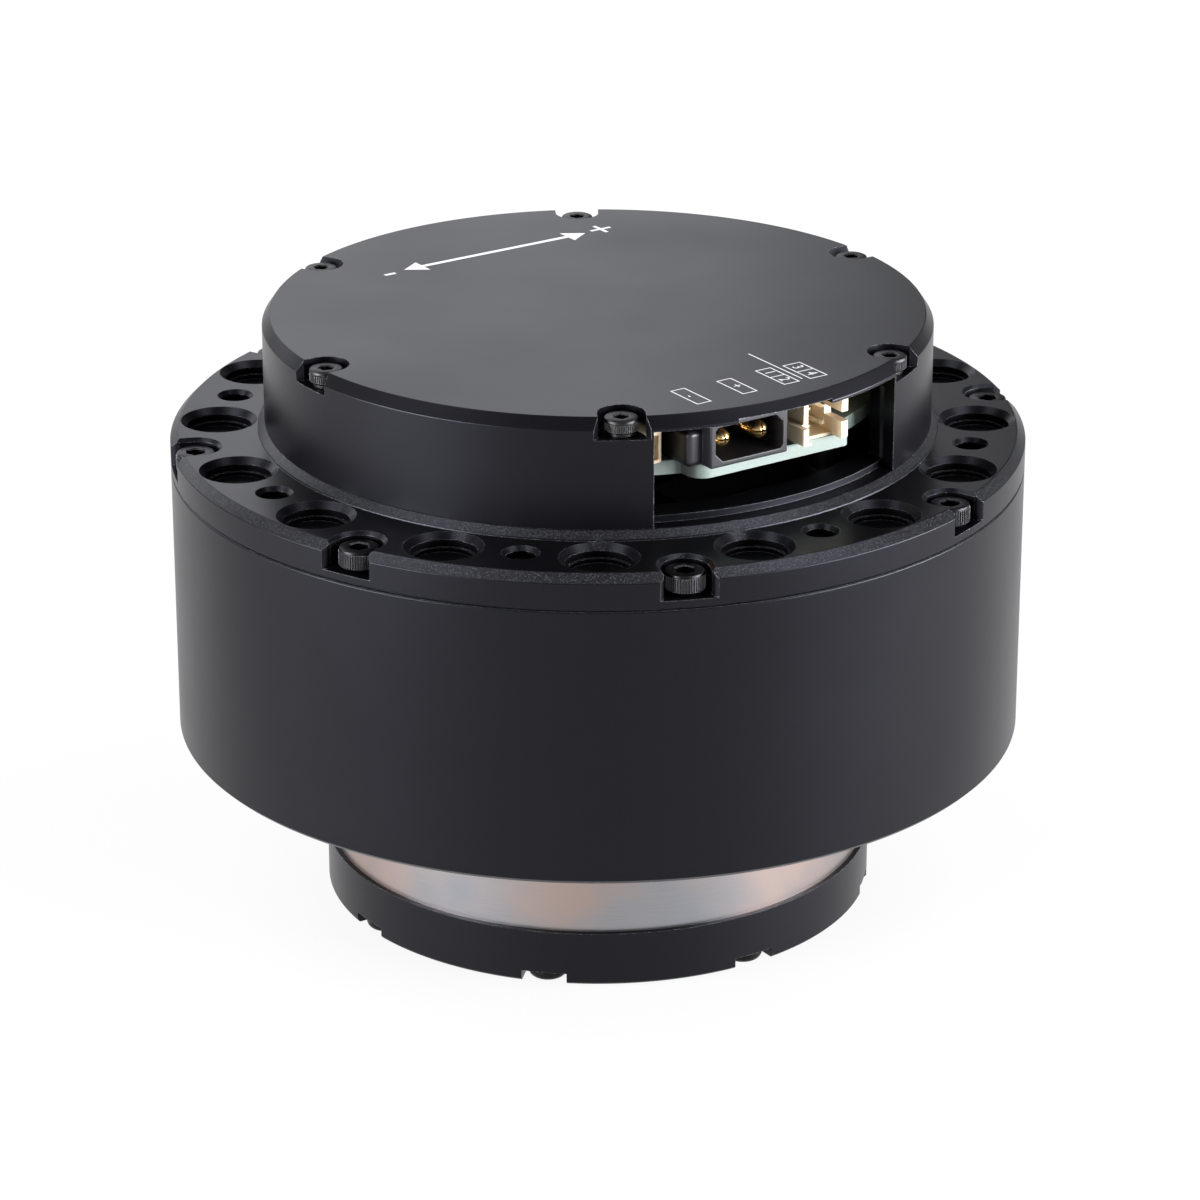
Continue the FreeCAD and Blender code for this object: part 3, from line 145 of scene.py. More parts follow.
for name, bearing, rise, distance, width, height, power in SOFT_BOXES:
    lamp = bpy.data.lights.new(name, "AREA")
    lamp.shape = "RECTANGLE"
    lamp.size = width * MM
    lamp.size_y = height * MM
    lamp.energy = power
    lamp.color = linear(LAMP_TINT)[:3]
    box = bpy.data.objects.new(name, lamp)
    direction = toward(math.radians(bearing), math.radians(rise))
    box.location = target + direction * distance * MM
    box.rotation_euler = direction.to_track_quat("Z", "Y").to_euler()
    bpy.context.scene.collection.objects.link(box)

world = bpy.data.worlds.new("studio")
world.use_nodes = True
tree = world.node_tree
tree.nodes.clear()
camera_rays = add_node(tree, "LightPath").outputs["Is Camera Ray"]
level = add_node(tree, "MapRange", {"Value": camera_rays, "To Min": WORLD_LEVEL, "To Max": 1.0})
room = add_node(tree, "Background", {"Color": linear("#FFFFFF"), "Strength": level.outputs[0]})
add_node(tree, "OutputWorld", {"Surface": room.outputs[0]})
bpy.context.scene.world = world
bpy.context.scene.view_settings.view_transform = "Standard"

# Matt paper, so bright that its fibres don't show: an even white that takes a soft shadow.
paper, tree = empty_material("matt_paper")
matt = add_node(tree, "BsdfDiffuse", {"Color": linear(FLOOR_WHITE)})
glow = add_node(tree, "Emission", {"Color": linear("#FFFFFF"), "Strength": 1.0})
share = add_node(tree, "Math", {0: seen_plainly(tree), 1: FLOOR_GLOW}, operation="MULTIPLY")
mixed = add_node(tree, "MixShader", {0: share.outputs[0], 1: matt.outputs[0], 2: glow.outputs[0]})
below = add_node(tree, "NewGeometry").outputs["Backfacing"]
clear = add_node(tree, "BsdfTransparent")
sheet_look = add_node(tree, "MixShader", {0: below, 1: mixed.outputs[0], 2: clear.outputs[0]})
add_node(tree, "OutputMaterial", {"Surface": sheet_look.outputs[0]})
sheet = bmesh.new()
bmesh.ops.create_grid(sheet, x_segments=1, y_segments=1, size=FLOOR_SIZE / 2 * MM)
floor = bpy.data.objects.new("floor", bpy.data.meshes.new("floor"))
sheet.to_mesh(floor.data)
sheet.free()
floor.data.transform(Matrix.Translation((0, 0, cad_low.z - FLOOR_GAP * MM)))
floor.data.materials.append(paper)
bpy.context.scene.collection.objects.link(floor)
floor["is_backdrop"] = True

# ---------------------------------------------------------------- housing drum
# The drum round the motor: aluminium turned on a lathe and anodised black, a satin skin that
# shows fine grit. It is bored for the steel gearbox ring, and its edges are broken by the tool.
STEPS = 256
SHARP = math.radians(31)  # an edge that bends by more stays sharp
PAST = 1.0  # how far a cutting tool runs past a face
CORNER = 0.07
DRUM_WALL = 4.0
DRUM_EDGE = 0.5
SEAM_EDGE = 0.2
RIM_SCREW_CIRCLE = 46.4
RIM_SCREW_ANGLE = 22.5
LIP_SCREW_CIRCLE = 34.8
STEEL_RADIUS = 31.4
SCREW_SHANK = 1.25
SCREW_THREAD = 8.0
LIP_THREAD = 2.8


def box_mm(node):
    """A node's lowest and highest corner in millimetres."""
    return [Vector(round(value / MM, 2) for value in corner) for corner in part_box(node)]


def lathe(outline, closed=True):
    """A solid turned about the axis from (radius, height) points, its corners broken. One that isn't
    closed is capped by a flat disc at each end."""
    mesh = bmesh.new()
    points = [mesh.verts.new((radius, 0, height)) for radius, height in outline]
    for pair in list(zip(points, points[1:])) + ([(points[-1], points[0])] if closed else []):
        mesh.edges.new(pair)
    bmesh.ops.bevel(mesh, geom=points if closed else points[1:-1], offset=CORNER,
                    offset_type="OFFSET", segments=2, profile=0.5, affect="VERTICES", material=-1,
                    clamp_overlap=True)
    bmesh.ops.spin(mesh, geom=mesh.verts[:] + mesh.edges[:], cent=(0, 0, 0), axis=(0, 0, 1),
                   dvec=(0, 0, 0), angle=math.tau, steps=STEPS, use_merge=True)
    bmesh.ops.remove_doubles(mesh, verts=mesh.verts, dist=0.0001)
    bmesh.ops.holes_fill(mesh, edges=[edge for edge in mesh.edges if edge.is_boundary], sides=0)
    bmesh.ops.recalc_face_normals(mesh, faces=mesh.faces)
    return mesh


def stack(mesh, levels, along=0.0, angle=0.0, reach=0.0, segments=48, turn=0.0):
    """Adds a solid of rings set on one another at a distance along X, turned about the axis by an
    angle in degrees. A level is (radius, height) or (radius, height, shape), where shape gives each
    angle its share of the radius. Reach draws the outer half away from the axis, into a slot."""
    made = bmesh.ops.create_circle(mesh, cap_ends=True, segments=segments, radius=1.0,
                                   matrix=Matrix.Rotation(math.pi / segments, 4, "Z"))["verts"]
    every, face = list(made), made[0].link_faces[0]
    for number, (radius, height, *shape) in enumerate(levels):
        if number:
            grown, below = bmesh.ops.extrude_face_region(mesh, geom=[face])["geom"], face
            face = next(item for item in grown if isinstance(item, bmesh.types.BMFace))
            if number > 1:
                bmesh.ops.delete(mesh, geom=[below], context="FACES_ONLY")
            made = [item for item in grown if isinstance(item, bmesh.types.BMVert)]
            every += made
        for vert in made:
            bearing = math.atan2(vert.co.y, vert.co.x)
            size = radius * (shape[0](bearing) if shape else 1.0)
            vert.co = (size * math.cos(bearing), size * math.sin(bearing), height)
    for vert in every:
        if vert.co.x > 0:
            vert.co.x += reach
    place = Matrix.Rotation(math.radians(angle), 4, "Z") @ Matrix.Translation((along, 0, 0))
    bmesh.ops.transform(mesh, matrix=place @ Matrix.Rotation(math.radians(turn), 4, "Z"), verts=every)
    return every


def holes(count, levels, along, first=0.0, reach=0.0):
    """The tool for a circle of like holes."""
    tool = bmesh.new()
    for number in range(count):
        stack(tool, levels, along, first + number * 360 / count, reach)
    return tool


def joined(mesh, tool, operation="DIFFERENCE"):
    """Cuts a tool's solids out of a mesh, or adds them to it."""
    blocks = []
    for source in (mesh, tool):
        bmesh.ops.recalc_face_normals(source, faces=source.faces)
        block = bpy.data.objects.new("block", bpy.data.meshes.new("block"))
        source.to_mesh(block.data)
        source.free()
        bpy.context.scene.collection.objects.link(block)
        blocks.append(block)
    modifier = blocks[0].modifiers.new("cut", "BOOLEAN")
    modifier.operation = operation
    modifier.solver = "EXACT"
    modifier.object = blocks[1]
    result = bmesh.new()
    result.from_object(blocks[0], bpy.context.evaluated_depsgraph_get())
    for block in blocks:
        bpy.data.meshes.remove(block.data)
    return result


def finish_piece(mesh, name, material, sharp=SHARP):
    """Makes a piece of a mesh drawn in millimetres: smooth, with its sharp edges marked."""
    bmesh.ops.remove_doubles(mesh, verts=mesh.verts, dist=0.0005)
    bmesh.ops.dissolve_degenerate(mesh, edges=mesh.edges, dist=0.0005)
    bmesh.ops.recalc_face_normals(mesh, faces=mesh.faces)
    bmesh.ops.scale(mesh, vec=(MM, MM, MM), verts=mesh.verts)
    for face in mesh.faces:
        face.smooth = True
    for edge in mesh.edges:
        edge.smooth = edge.calc_face_angle(0.0) < sharp
    piece = bpy.data.objects.new(name, bpy.data.meshes.new(name))
    mesh.to_mesh(piece.data)
    mesh.free()
    piece.data.materials.append(material)
    bpy.context.scene.collection.objects.link(piece)
    weights = piece.modifiers.new("flat faces", "WEIGHTED_NORMAL")
    weights.keep_sharp = True
    weights.weight = 100
    return piece


def worn_and_highlit_edges(tree, width):
    """How far a point is on an edge, and the normal rounded over it. The edge is lightened partly as
    wear and partly as a painted highlight. An edge is where the two normals part, from 10 degrees on
    and wholly from 26."""
    rounded = add_node(tree, "Bevel", {"Radius": width * MM}, samples=6).outputs[0]
    plain = add_node(tree, "NewGeometry").outputs["Normal"]
    along = add_node(tree, "VectorMath", {0: rounded, 1: plain}, operation="DOT_PRODUCT")
    edge = add_node(tree, "MapRange", {"Value": along.outputs["Value"],
                                       "From Min": 0.985, "From Max": 0.9})
    return edge.outputs[0], rounded


# Dyed oxide over blasted aluminium: a dark, faintly blue skin. Its grit is some 0.05 mm across,
# drawn at 0.25 mm so that it shows, and its gloss drifts a little over a few centimetres. Light
# specks on the outward bevels are a painted highlight, and the edges are lightened partly as
# wear and partly as a painted highlight.
GRIT = 0.25
SPECKS = 0.17
HANDLING = 22.0
black_anodised, tree = empty_material("black_anodised_aluminium")
place = add_node(tree, "TexCoord").outputs["Object"]
grit = add_node(tree, "TexNoise", {"Vector": place, "Scale": 1 / (GRIT * MM), "Detail": 2.0})
specks = add_node(tree, "TexNoise", {"Vector": place, "Scale": 1 / (SPECKS * MM), "Detail": 2.0})
handling = add_node(tree, "TexNoise", {"Vector": place, "Scale": 1 / (HANDLING * MM), "Detail": 3.0})
gloss = add_node(tree, "MapRange", {"Value": handling.outputs[0], "From Min": 0.3, "From Max": 0.7,
                                    "To Min": 0.31, "To Max": 0.36})
tone = add_node(tree, "MixRGB", {0: grit.outputs[0], 1: linear("#040405"), 2: linear("#08080A")})
# the edges, lightened partly as wear and partly as a painted highlight, broken up by the specks
edge, rounded = worn_and_highlit_edges(tree, 0.09)
bare = add_node(tree, "MapRange", {"Value": specks.outputs[0], "From Min": 0.48, "From Max": 0.64,
                                   "To Min": 0.08})
wear_and_highlight = add_node(tree, "Math", {0: edge, 1: bare.outputs[0]}, operation="MULTIPLY")
# a painted highlight: light specks on the bevels that slope by 45 degrees and lean away from the axis
facet = add_node(tree, "NewGeometry").outputs["True Normal"]
level_place = add_node(tree, "VectorMath", {0: place, 1: (1.0, 1.0, 0.0)}, operation="MULTIPLY")
outward = add_node(tree, "VectorMath", {0: level_place.outputs[0]}, operation="NORMALIZE")
leaning = add_node(tree, "VectorMath", {0: facet, 1: outward.outputs[0]}, operation="DOT_PRODUCT")
turned = add_node(tree, "MapRange", {"Value": leaning.outputs["Value"],
                                     "From Min": 0.68, "From Max": 0.7})
upright = add_node(tree, "SeparateXYZ", {0: facet}).outputs[2]
slope = add_node(tree, "Math", {0: upright}, operation="ABSOLUTE")
past_slope = add_node(tree, "Math", {0: slope.outputs[0], 1: math.sqrt(0.5)}, operation="SUBTRACT")
off_slope = add_node(tree, "Math", {0: past_slope.outputs[0]}, operation="ABSOLUTE")
sloped = add_node(tree, "MapRange", {"Value": off_slope.outputs[0], "From Min": 0.06, "From Max": 0.02})
bevel = add_node(tree, "Math", {0: sloped.outputs[0], 1: turned.outputs[0]}, operation="MULTIPLY")
painted_glint_specks = add_node(tree, "MapRange", {"Value": specks.outputs[0], "From Min": 0.5, "From Max": 0.75,
                                    "To Min": 0.015, "To Max": 0.17})
painted_glint_on_bevels = add_node(tree, "Math", {0: bevel.outputs[0], 1: painted_glint_specks.outputs[0]}, operation="MULTIPLY")
shown = add_node(tree, "Math", {0: wear_and_highlight.outputs[0], 1: painted_glint_on_bevels.outputs[0]}, operation="MAXIMUM")
# edges and bevels mixed towards light grey: wear and painted highlight on the edges, painted glints on
# the bevels
tone = add_node(tree, "MixRGB", {0: shown.outputs[0], 1: tone.outputs[0], 2: linear("#8C8D90")})
relief = add_node(tree, "Bump", {"Height": grit.outputs[0], "Strength": 0.35, "Distance": 0.012 * MM,
                                 "Normal": rounded})
skin = add_node(tree, "BsdfPrincipled", {"Base Color": tone.outputs[0], "Roughness": gloss.outputs[0],
                                         "IOR": 1.29, "Specular Tint": linear("#ECEDFF"),
                                         "Normal": relief.outputs[0]})
add_node(tree, "OutputMaterial", {"Surface": skin.outputs[0]})

drum_low, drum_high = box_mm("housing_drum")
drum_radius, seam = round(drum_high.y), drum_high.z
drum_bore = drum_radius - DRUM_WALL
drum_floor = box_mm("ring_gear_screws")[0].z + LIP_THREAD
drum = lathe([
    (STEEL_RADIUS, drum_low.z), (drum_radius - DRUM_EDGE, drum_low.z),
    (drum_radius, drum_low.z + DRUM_EDGE), (drum_radius, seam - SEAM_EDGE),
    (drum_radius - SEAM_EDGE, seam), (drum_bore, seam), (drum_bore, drum_floor),
    (STEEL_RADIUS, drum_floor)])
drum = joined(drum, holes(8, [(SCREW_SHANK, seam - SCREW_THREAD), (SCREW_SHANK, seam + PAST)],
                          RIM_SCREW_CIRCLE, RIM_SCREW_ANGLE))
drum = joined(drum, holes(8, [(SCREW_SHANK, drum_floor - LIP_THREAD), (SCREW_SHANK, drum_floor + PAST)],
                          LIP_SCREW_CIRCLE, RIM_SCREW_ANGLE))
drum = finish_piece(drum, "drum", black_anodised)
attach(drum, "housing")
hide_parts("housing_drum")

# ---------------------------------------------------------------- rear flange
# The mounting flange with its boss, turned and milled from one blank and anodised black. Sixteen
# blind pockets save weight, eight M4 threads take the robot's frame, eight notches the screws.
BOSS_RADIUS = 39.0
BOSS_FACE = 58.0
BOSS_EDGE = 0.85
FLANGE_FACE = 57.0
FLANGE_EDGE = 1.0
FLANGE_FLOOR = 56.0
FLANGE_UNDERSIDE = 53.5
FLANGE_BORE = 10.5
SPIGOT_RADIUS = 36.4
SPIGOT_BORE = 33.0
DRUM_SPIGOT_BORE = 40.6
DRUM_SPIGOT_DEPTH = 1.5
HUB_BORE = 23.5
HUB_SHOULDER = 27.5
HUB_RECESS = 50.5
CORE_BORE = 26.0
CORE_BOTTOM, CORE_TOP = 34.0, 49.0
TUBE_RADIUS = 14.5
TUBE_BORE = 11.3
RACE_RADIUS = 12.0
FRONT_RACE, REAR_RACE, RACE_WIDTH = 33.0, 47.0, 5.0
MOUNT_CIRCLE = 43.0
MOUNT_MOUTH = 0.45
THREAD_CORE = 1.65
THREAD_DEPTH = 0.22
THREAD_PITCH = 0.7
THREAD_FLAT = 0.1
POCKET_CIRCLE = 43.5
POCKET_RADIUS = 3.7
POCKET_MOUTH = 0.7
POCKET_STEP = 1.5
POCKET_FLOOR_RADIUS = 3.4
POCKET_DEPTH = 2.0
RIM_NOTCH = 2.65
RIM_NOTCH_EDGE = 0.4
RIM_NOTCH_FLOOR = 53.9
RIM_NOTCH_REACH = 5.0
MOUTH_CORNER = 1.0
SCREW_CLEARANCE = 1.4
COVER_SCREW_CIRCLE = 36.0
COVER_SHANK = 1.0


def prisms(outline, low, high, count=1, first=0.0):
    """The tool for a circle of like slots: an outline of (along, across) points, drawn up."""
    tool = bmesh.new()
    for number in range(count):
        face = tool.faces.new([tool.verts.new((along, across, low)) for along, across in outline])
        grown = bmesh.ops.extrude_face_region(tool, geom=[face])["geom"]
        top = [item for item in grown if isinstance(item, bmesh.types.BMVert)]
        bmesh.ops.translate(tool, vec=(0, 0, high - low), verts=top)
        turn = Matrix.Rotation(math.radians(first + number * 360 / count), 4, "Z")
        bmesh.ops.transform(tool, matrix=turn, verts=list(face.verts) + top)
    return tool


def arc(along, across, radius, start, stop, steps=8):
    """Points on an arc round a place, from one angle in degrees to another."""
    angles = [math.radians(start + (stop - start) * step / steps) for step in range(steps + 1)]
    return [(along + radius * math.cos(angle), across + radius * math.sin(angle)) for angle in angles]


def threaded(core, top, bottom, mouth):
    """The levels of a tapped hole: rings of thread, and a countersunk mouth at its top."""
    levels = [(core, bottom)]
    for turn in range(int((top - mouth - bottom) / THREAD_PITCH)):
        low = bottom + turn * THREAD_PITCH
        levels += [(core, low + THREAD_FLAT), (core + THREAD_DEPTH, low + THREAD_PITCH / 2),
                   (core, low + THREAD_PITCH - THREAD_FLAT)]
    return levels + [(core, top - mouth), (core + mouth, top), (core + mouth + PAST, top + PAST)]


flange_low, flange_high = box_mm("rear_flange")
spigot_bottom = seam - DRUM_SPIGOT_DEPTH
flange = lathe([
    (drum_bore, seam), (drum_radius - SEAM_EDGE, seam), (drum_radius, seam + SEAM_EDGE),
    (drum_radius, FLANGE_FACE - FLANGE_EDGE), (drum_radius - FLANGE_EDGE, FLANGE_FACE),
    (BOSS_RADIUS, FLANGE_FACE), (BOSS_RADIUS, BOSS_FACE - BOSS_EDGE),
    (BOSS_RADIUS - BOSS_EDGE, BOSS_FACE), (SPIGOT_RADIUS, BOSS_FACE), (SPIGOT_RADIUS, flange_high.z),
    (SPIGOT_BORE, flange_high.z), (SPIGOT_BORE, FLANGE_FLOOR), (FLANGE_BORE, FLANGE_FLOOR),
    (FLANGE_BORE, REAR_RACE + RACE_WIDTH), (RACE_RADIUS, REAR_RACE + RACE_WIDTH),
    (RACE_RADIUS, REAR_RACE), (TUBE_BORE, REAR_RACE), (TUBE_BORE, FRONT_RACE + RACE_WIDTH),
    (RACE_RADIUS, FRONT_RACE + RACE_WIDTH), (RACE_RADIUS, flange_low.z), (TUBE_RADIUS, flange_low.z),
    (TUBE_RADIUS, HUB_RECESS), (HUB_BORE, HUB_RECESS), (HUB_BORE, CORE_BOTTOM),
    (CORE_BORE, CORE_BOTTOM), (CORE_BORE, CORE_TOP), (HUB_SHOULDER, CORE_TOP),
    (HUB_SHOULDER, FLANGE_UNDERSIDE), (DRUM_SPIGOT_BORE, FLANGE_UNDERSIDE),
    (DRUM_SPIGOT_BORE, spigot_bottom), (drum_bore, spigot_bottom)])
flange = joined(flange, holes(
    8, [(RIM_NOTCH, RIM_NOTCH_FLOOR), (RIM_NOTCH, FLANGE_FACE - RIM_NOTCH_EDGE),
        (RIM_NOTCH + RIM_NOTCH_EDGE, FLANGE_FACE),
        (RIM_NOTCH + RIM_NOTCH_EDGE + PAST, FLANGE_FACE + PAST)],
    RIM_SCREW_CIRCLE, RIM_SCREW_ANGLE, RIM_NOTCH_REACH))
curve = arc(drum_radius - MOUTH_CORNER, RIM_NOTCH + MOUTH_CORNER, MOUTH_CORNER, 270, 355)
mouth = ([(RIM_SCREW_CIRCLE + PAST, RIM_NOTCH - PAST / 2)] + curve
         + [(drum_radius + 2 * PAST, curve[-1][1])])
flange = joined(flange, prisms([(along, -across) for along, across in mouth] + mouth[::-1],
                               RIM_NOTCH_FLOOR, FLANGE_FACE + PAST, 8, RIM_SCREW_ANGLE))
flange = joined(flange, holes(
    16, [(POCKET_FLOOR_RADIUS, FLANGE_FACE - POCKET_DEPTH),
         (POCKET_FLOOR_RADIUS, FLANGE_FACE - POCKET_STEP),
         (POCKET_RADIUS, FLANGE_FACE - POCKET_STEP), (POCKET_RADIUS, FLANGE_FACE - POCKET_MOUTH),
         (POCKET_RADIUS + POCKET_MOUTH, FLANGE_FACE),
         (POCKET_RADIUS + POCKET_MOUTH + PAST, FLANGE_FACE + PAST)],
    POCKET_CIRCLE, RIM_SCREW_ANGLE / 2))
flange = joined(flange, holes(
    8, threaded(THREAD_CORE, FLANGE_FACE, spigot_bottom - PAST, MOUNT_MOUTH), MOUNT_CIRCLE))
flange = joined(flange, holes(
    8, [(SCREW_CLEARANCE, seam - PAST), (SCREW_CLEARANCE, RIM_NOTCH_FLOOR + PAST / 2)],
    RIM_SCREW_CIRCLE, RIM_SCREW_ANGLE))
flange = joined(flange, holes(
    6, [(COVER_SHANK, FLANGE_FLOOR), (COVER_SHANK, flange_high.z + PAST)], COVER_SCREW_CIRCLE))
flange = finish_piece(flange, "flange", black_anodised)
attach(flange, "housing")
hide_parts("rear_flange")

# ---------------------------------------------------------------- rear cover
# The cup over the driver board, turned and milled and anodised black. Six posts carry its screws
# in open notches at the rim, and a window in the wall lets the plugs in.
COVER_BORE = 36.5
COVER_PLATE = 1.6
COVER_RIM_BORE = 32.9
COVER_RIM_DEPTH = 1.8
COVER_EDGE = 0.9
COVER_EDGE_DROP = 1.3
TOP_RING = 4.0
PLATE_RING = 2.0
COVER_CLEARANCE = 1.15
NOTCH_HALF = 2.6
NOTCH_DEPTH = 2.4
NOTCH_FLARE = 0.55
FLARE_START = 37.3
WINDOW_HALF = 16.1
WINDOW_FRONT, WINDOW_BACK = -45.0, -15.0
RELIEF_LEFT = -7.0
RELIEF_RIGHT = 5.2
RELIEF_DEPTH = 0.5
POST_RADIUS = 2.1

cover_high = box_mm("rear_cover")[1]
cover_radius, cover_face = cover_high.y, cover_high.z
plate = cover_face - COVER_PLATE
rim = plate - COVER_RIM_DEPTH
cover = lathe([
    (cover_radius - COVER_EDGE - TOP_RING, cover_face), (cover_radius - COVER_EDGE, cover_face),
    (cover_radius, cover_face - COVER_EDGE_DROP), (cover_radius, BOSS_FACE), (COVER_BORE, BOSS_FACE),
    (COVER_BORE, rim), (COVER_RIM_BORE, rim), (COVER_RIM_BORE, plate),
    (COVER_RIM_BORE - PLATE_RING, plate)], closed=False)
cover = joined(cover, holes(6, [(POST_RADIUS, flange_high.z), (POST_RADIUS, rim + PAST / 2)],
                            COVER_SCREW_CIRCLE), "UNION")
notch_floor = cover_face - NOTCH_DEPTH
notch_mouth = NOTCH_HALF + NOTCH_FLARE
cover = joined(cover, prisms(
    arc(COVER_SCREW_CIRCLE, 0, NOTCH_HALF, 90, 270, 32)
    + [(FLARE_START, -NOTCH_HALF), (cover_radius, -notch_mouth),
       (cover_radius + 2 * PAST, -notch_mouth), (cover_radius + 2 * PAST, notch_mouth),
       (cover_radius, notch_mouth), (FLARE_START, NOTCH_HALF)],
    notch_floor, cover_face + PAST, 6))
cover = joined(cover, holes(
    6, [(COVER_CLEARANCE, BOSS_FACE - PAST), (COVER_CLEARANCE, notch_floor + PAST / 2)],
    COVER_SCREW_CIRCLE))
for left, right, bottom, top in (
        (-WINDOW_HALF, WINDOW_HALF, BOSS_FACE - PAST, plate),
        (RELIEF_LEFT, RELIEF_RIGHT, plate - PAST / 2, plate + RELIEF_DEPTH)):
    cover = joined(cover, prisms([(left, WINDOW_FRONT), (right, WINDOW_FRONT), (right, WINDOW_BACK),
                                  (left, WINDOW_BACK)], bottom, top))
cover = finish_piece(cover, "cover", black_anodised)
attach(cover, "housing")
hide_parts("rear_cover")

# ---------------------------------------------------------------- flange screws
# Eight M2.5 socket cap screws in black oxide, their heads rolled with a straight knurl for the
# fingers and cold-headed with a hexagon socket.
KNURL_RIDGES = 48
KNURL_DEPTH = 0.06
SOCKET_EDGE = 0.12
SOCKET_TIP, SOCKET_CONE = 0.2, 0.4
SHANK_TIP, SHANK_CONE = 0.8, 0.3
FLANGE_SOCKET, FLANGE_SOCKET_DEPTH = 2.0, 1.3
FLANGE_TWIST = 17.0


def hexagon(bearing):
    """A hexagon's radius at a bearing, as a share of half its width across flats."""
    return 1 / math.cos((bearing + math.pi / 6) % (math.pi / 3) - math.pi / 6)


def knurl(bearing):
    """The ridged outline of a knurled head, as a share of its radius."""
    return 1 - KNURL_DEPTH * (math.floor(bearing / math.tau * KNURL_RIDGES * 2 + 0.5) % 2)


def cap_screws(node, count, circle, first, shank, head, socket, depth, twist):
    """A circle of socket cap screws. The head is levels of radius and rise over its underside, some
    with a shape, and each screw is turned on from the last by the twist, in degrees."""
    low, high = box_mm(node)
    under = high.z - head[-1][1]
    levels = [(shank * SHANK_TIP, low.z), (shank, low.z + SHANK_CONE), (shank, under)]
    levels += [(radius, under + rise, *shape) for radius, rise, *shape in head]
    levels += [(socket / 2 + SOCKET_EDGE, high.z, hexagon), (socket / 2, high.z - SOCKET_EDGE, hexagon),
               (socket / 2, high.z - depth, hexagon), (SOCKET_TIP, high.z - depth - SOCKET_CONE)]
    mesh = bmesh.new()
    for number in range(count):
        stack(mesh, levels, circle, first + number * 360 / count, segments=KNURL_RIDGES * 4,
              turn=twist * number)
    return mesh


# Black oxide, a thin film on steel that keeps the metal's sheen: nearly black, with the ridges of
# the knurl and the edges lighter, partly rubbed bright and partly a painted highlight. Its mottling
# is some 0.05 mm across, drawn at 0.3 mm so that it shows.
black_oxide, tree = empty_material("black_oxide_steel")
place = add_node(tree, "TexCoord").outputs["Object"]
scale_marks = add_node(tree, "TexNoise", {"Vector": place, "Scale": 1 / (0.3 * MM), "Detail": 3.0})
tone = add_node(tree, "MixRGB", {0: scale_marks.outputs[0], 1: linear("#18181A"), 2: linear("#2B2B2D")})
# the edges and ridges lightened: partly wear, partly a painted highlight
edge = worn_and_highlit_edges(tree, 0.05)[0]
wear_and_highlight = add_node(tree, "Math", {0: edge, 1: 0.7}, operation="MULTIPLY")
tone = add_node(tree, "MixRGB", {0: wear_and_highlight.outputs[0], 1: tone.outputs[0], 2: linear("#A5A5A8")})
relief = add_node(tree, "Bump", {"Height": scale_marks.outputs[0], "Strength": 0.3,
                                 "Distance": 0.01 * MM})
oxide = add_node(tree, "BsdfPrincipled", {"Base Color": tone.outputs[0], "Metallic": 1.0,
                                          "Roughness": 0.38, "Normal": relief.outputs[0]})
add_node(tree, "OutputMaterial", {"Surface": oxide.outputs[0]})

flange_head = [(1.75, 0.0), (2.1, 0.4), (2.15, 0.52), (2.25, 0.56, knurl), (2.25, 2.08, knurl),
               (2.17, 2.12), (2.17, 2.28), (2.1, 2.43), (1.95, 2.5)]
screws = cap_screws("flange_screws", 8, RIM_SCREW_CIRCLE, RIM_SCREW_ANGLE, SCREW_SHANK,
                    flange_head, FLANGE_SOCKET, FLANGE_SOCKET_DEPTH, FLANGE_TWIST)
screws = finish_piece(screws, "flange_cap_screws", black_oxide)
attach(screws, "housing")
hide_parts("flange_screws")

# ---------------------------------------------------------------- cover screws
# Six M2 socket cap screws of plain steel, which hold the cover down on its posts. A bead runs
# round the head above its knurl, and a groove and a smaller bead below it.
COVER_SOCKET, COVER_SOCKET_DEPTH = 1.5, 1.0
COVER_TWIST = 23.0

# Bare steel under a film of oil: dark and dull, with its beads, ridges and edges lighter, partly
# rubbed bright and partly a painted highlight. Its marks are some 0.05 mm across, drawn at 0.3 mm
# so that they show.
bare_steel, tree = empty_material("bare_machined_steel")
place = add_node(tree, "TexCoord").outputs["Object"]
scale_marks = add_node(tree, "TexNoise", {"Vector": place, "Scale": 1 / (0.3 * MM), "Detail": 3.0})
tone = add_node(tree, "MixRGB", {0: scale_marks.outputs[0], 1: linear("#222222"), 2: linear("#3A3A3A")})
# the edges, beads and ridges lightened: partly wear, partly a painted highlight
edge = worn_and_highlit_edges(tree, 0.05)[0]
wear_and_highlight = add_node(tree, "Math", {0: edge, 1: 0.6}, operation="MULTIPLY")
tone = add_node(tree, "MixRGB", {0: wear_and_highlight.outputs[0], 1: tone.outputs[0], 2: linear("#A2A2A2")})
relief = add_node(tree, "Bump", {"Height": scale_marks.outputs[0], "Strength": 0.3,
                                 "Distance": 0.008 * MM})
steel = add_node(tree, "BsdfPrincipled", {"Base Color": tone.outputs[0], "Metallic": 1.0,
                                          "Roughness": 0.42, "Normal": relief.outputs[0]})
add_node(tree, "OutputMaterial", {"Surface": steel.outputs[0]})

cover_head = [(1.38, 0.0), (1.46, 0.08), (1.46, 0.32), (1.36, 0.4), (1.28, 0.45), (1.8, 0.6),
              (1.86, 0.64, knurl), (1.86, 1.44, knurl), (1.8, 1.48), (1.88, 1.58), (1.88, 1.78),
              (1.8, 1.92), (1.64, 2.0)]
screws = cap_screws("cover_screws", 6, COVER_SCREW_CIRCLE, 0.0, COVER_SHANK,
                    cover_head, COVER_SOCKET, COVER_SOCKET_DEPTH, COVER_TWIST)
screws = finish_piece(screws, "cover_cap_screws", bare_steel)
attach(screws, "housing")
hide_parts("cover_screws")

# ---------------------------------------------------------------- gearbox ring
# The steel ring that both gear stages run in. Its outside is finish-turned and left bare, so it
# shows fine rings of tool marks and the brown blotches of oil and handling.
TOOL_MARKS = 0.07
BLOTCHES = 13.0

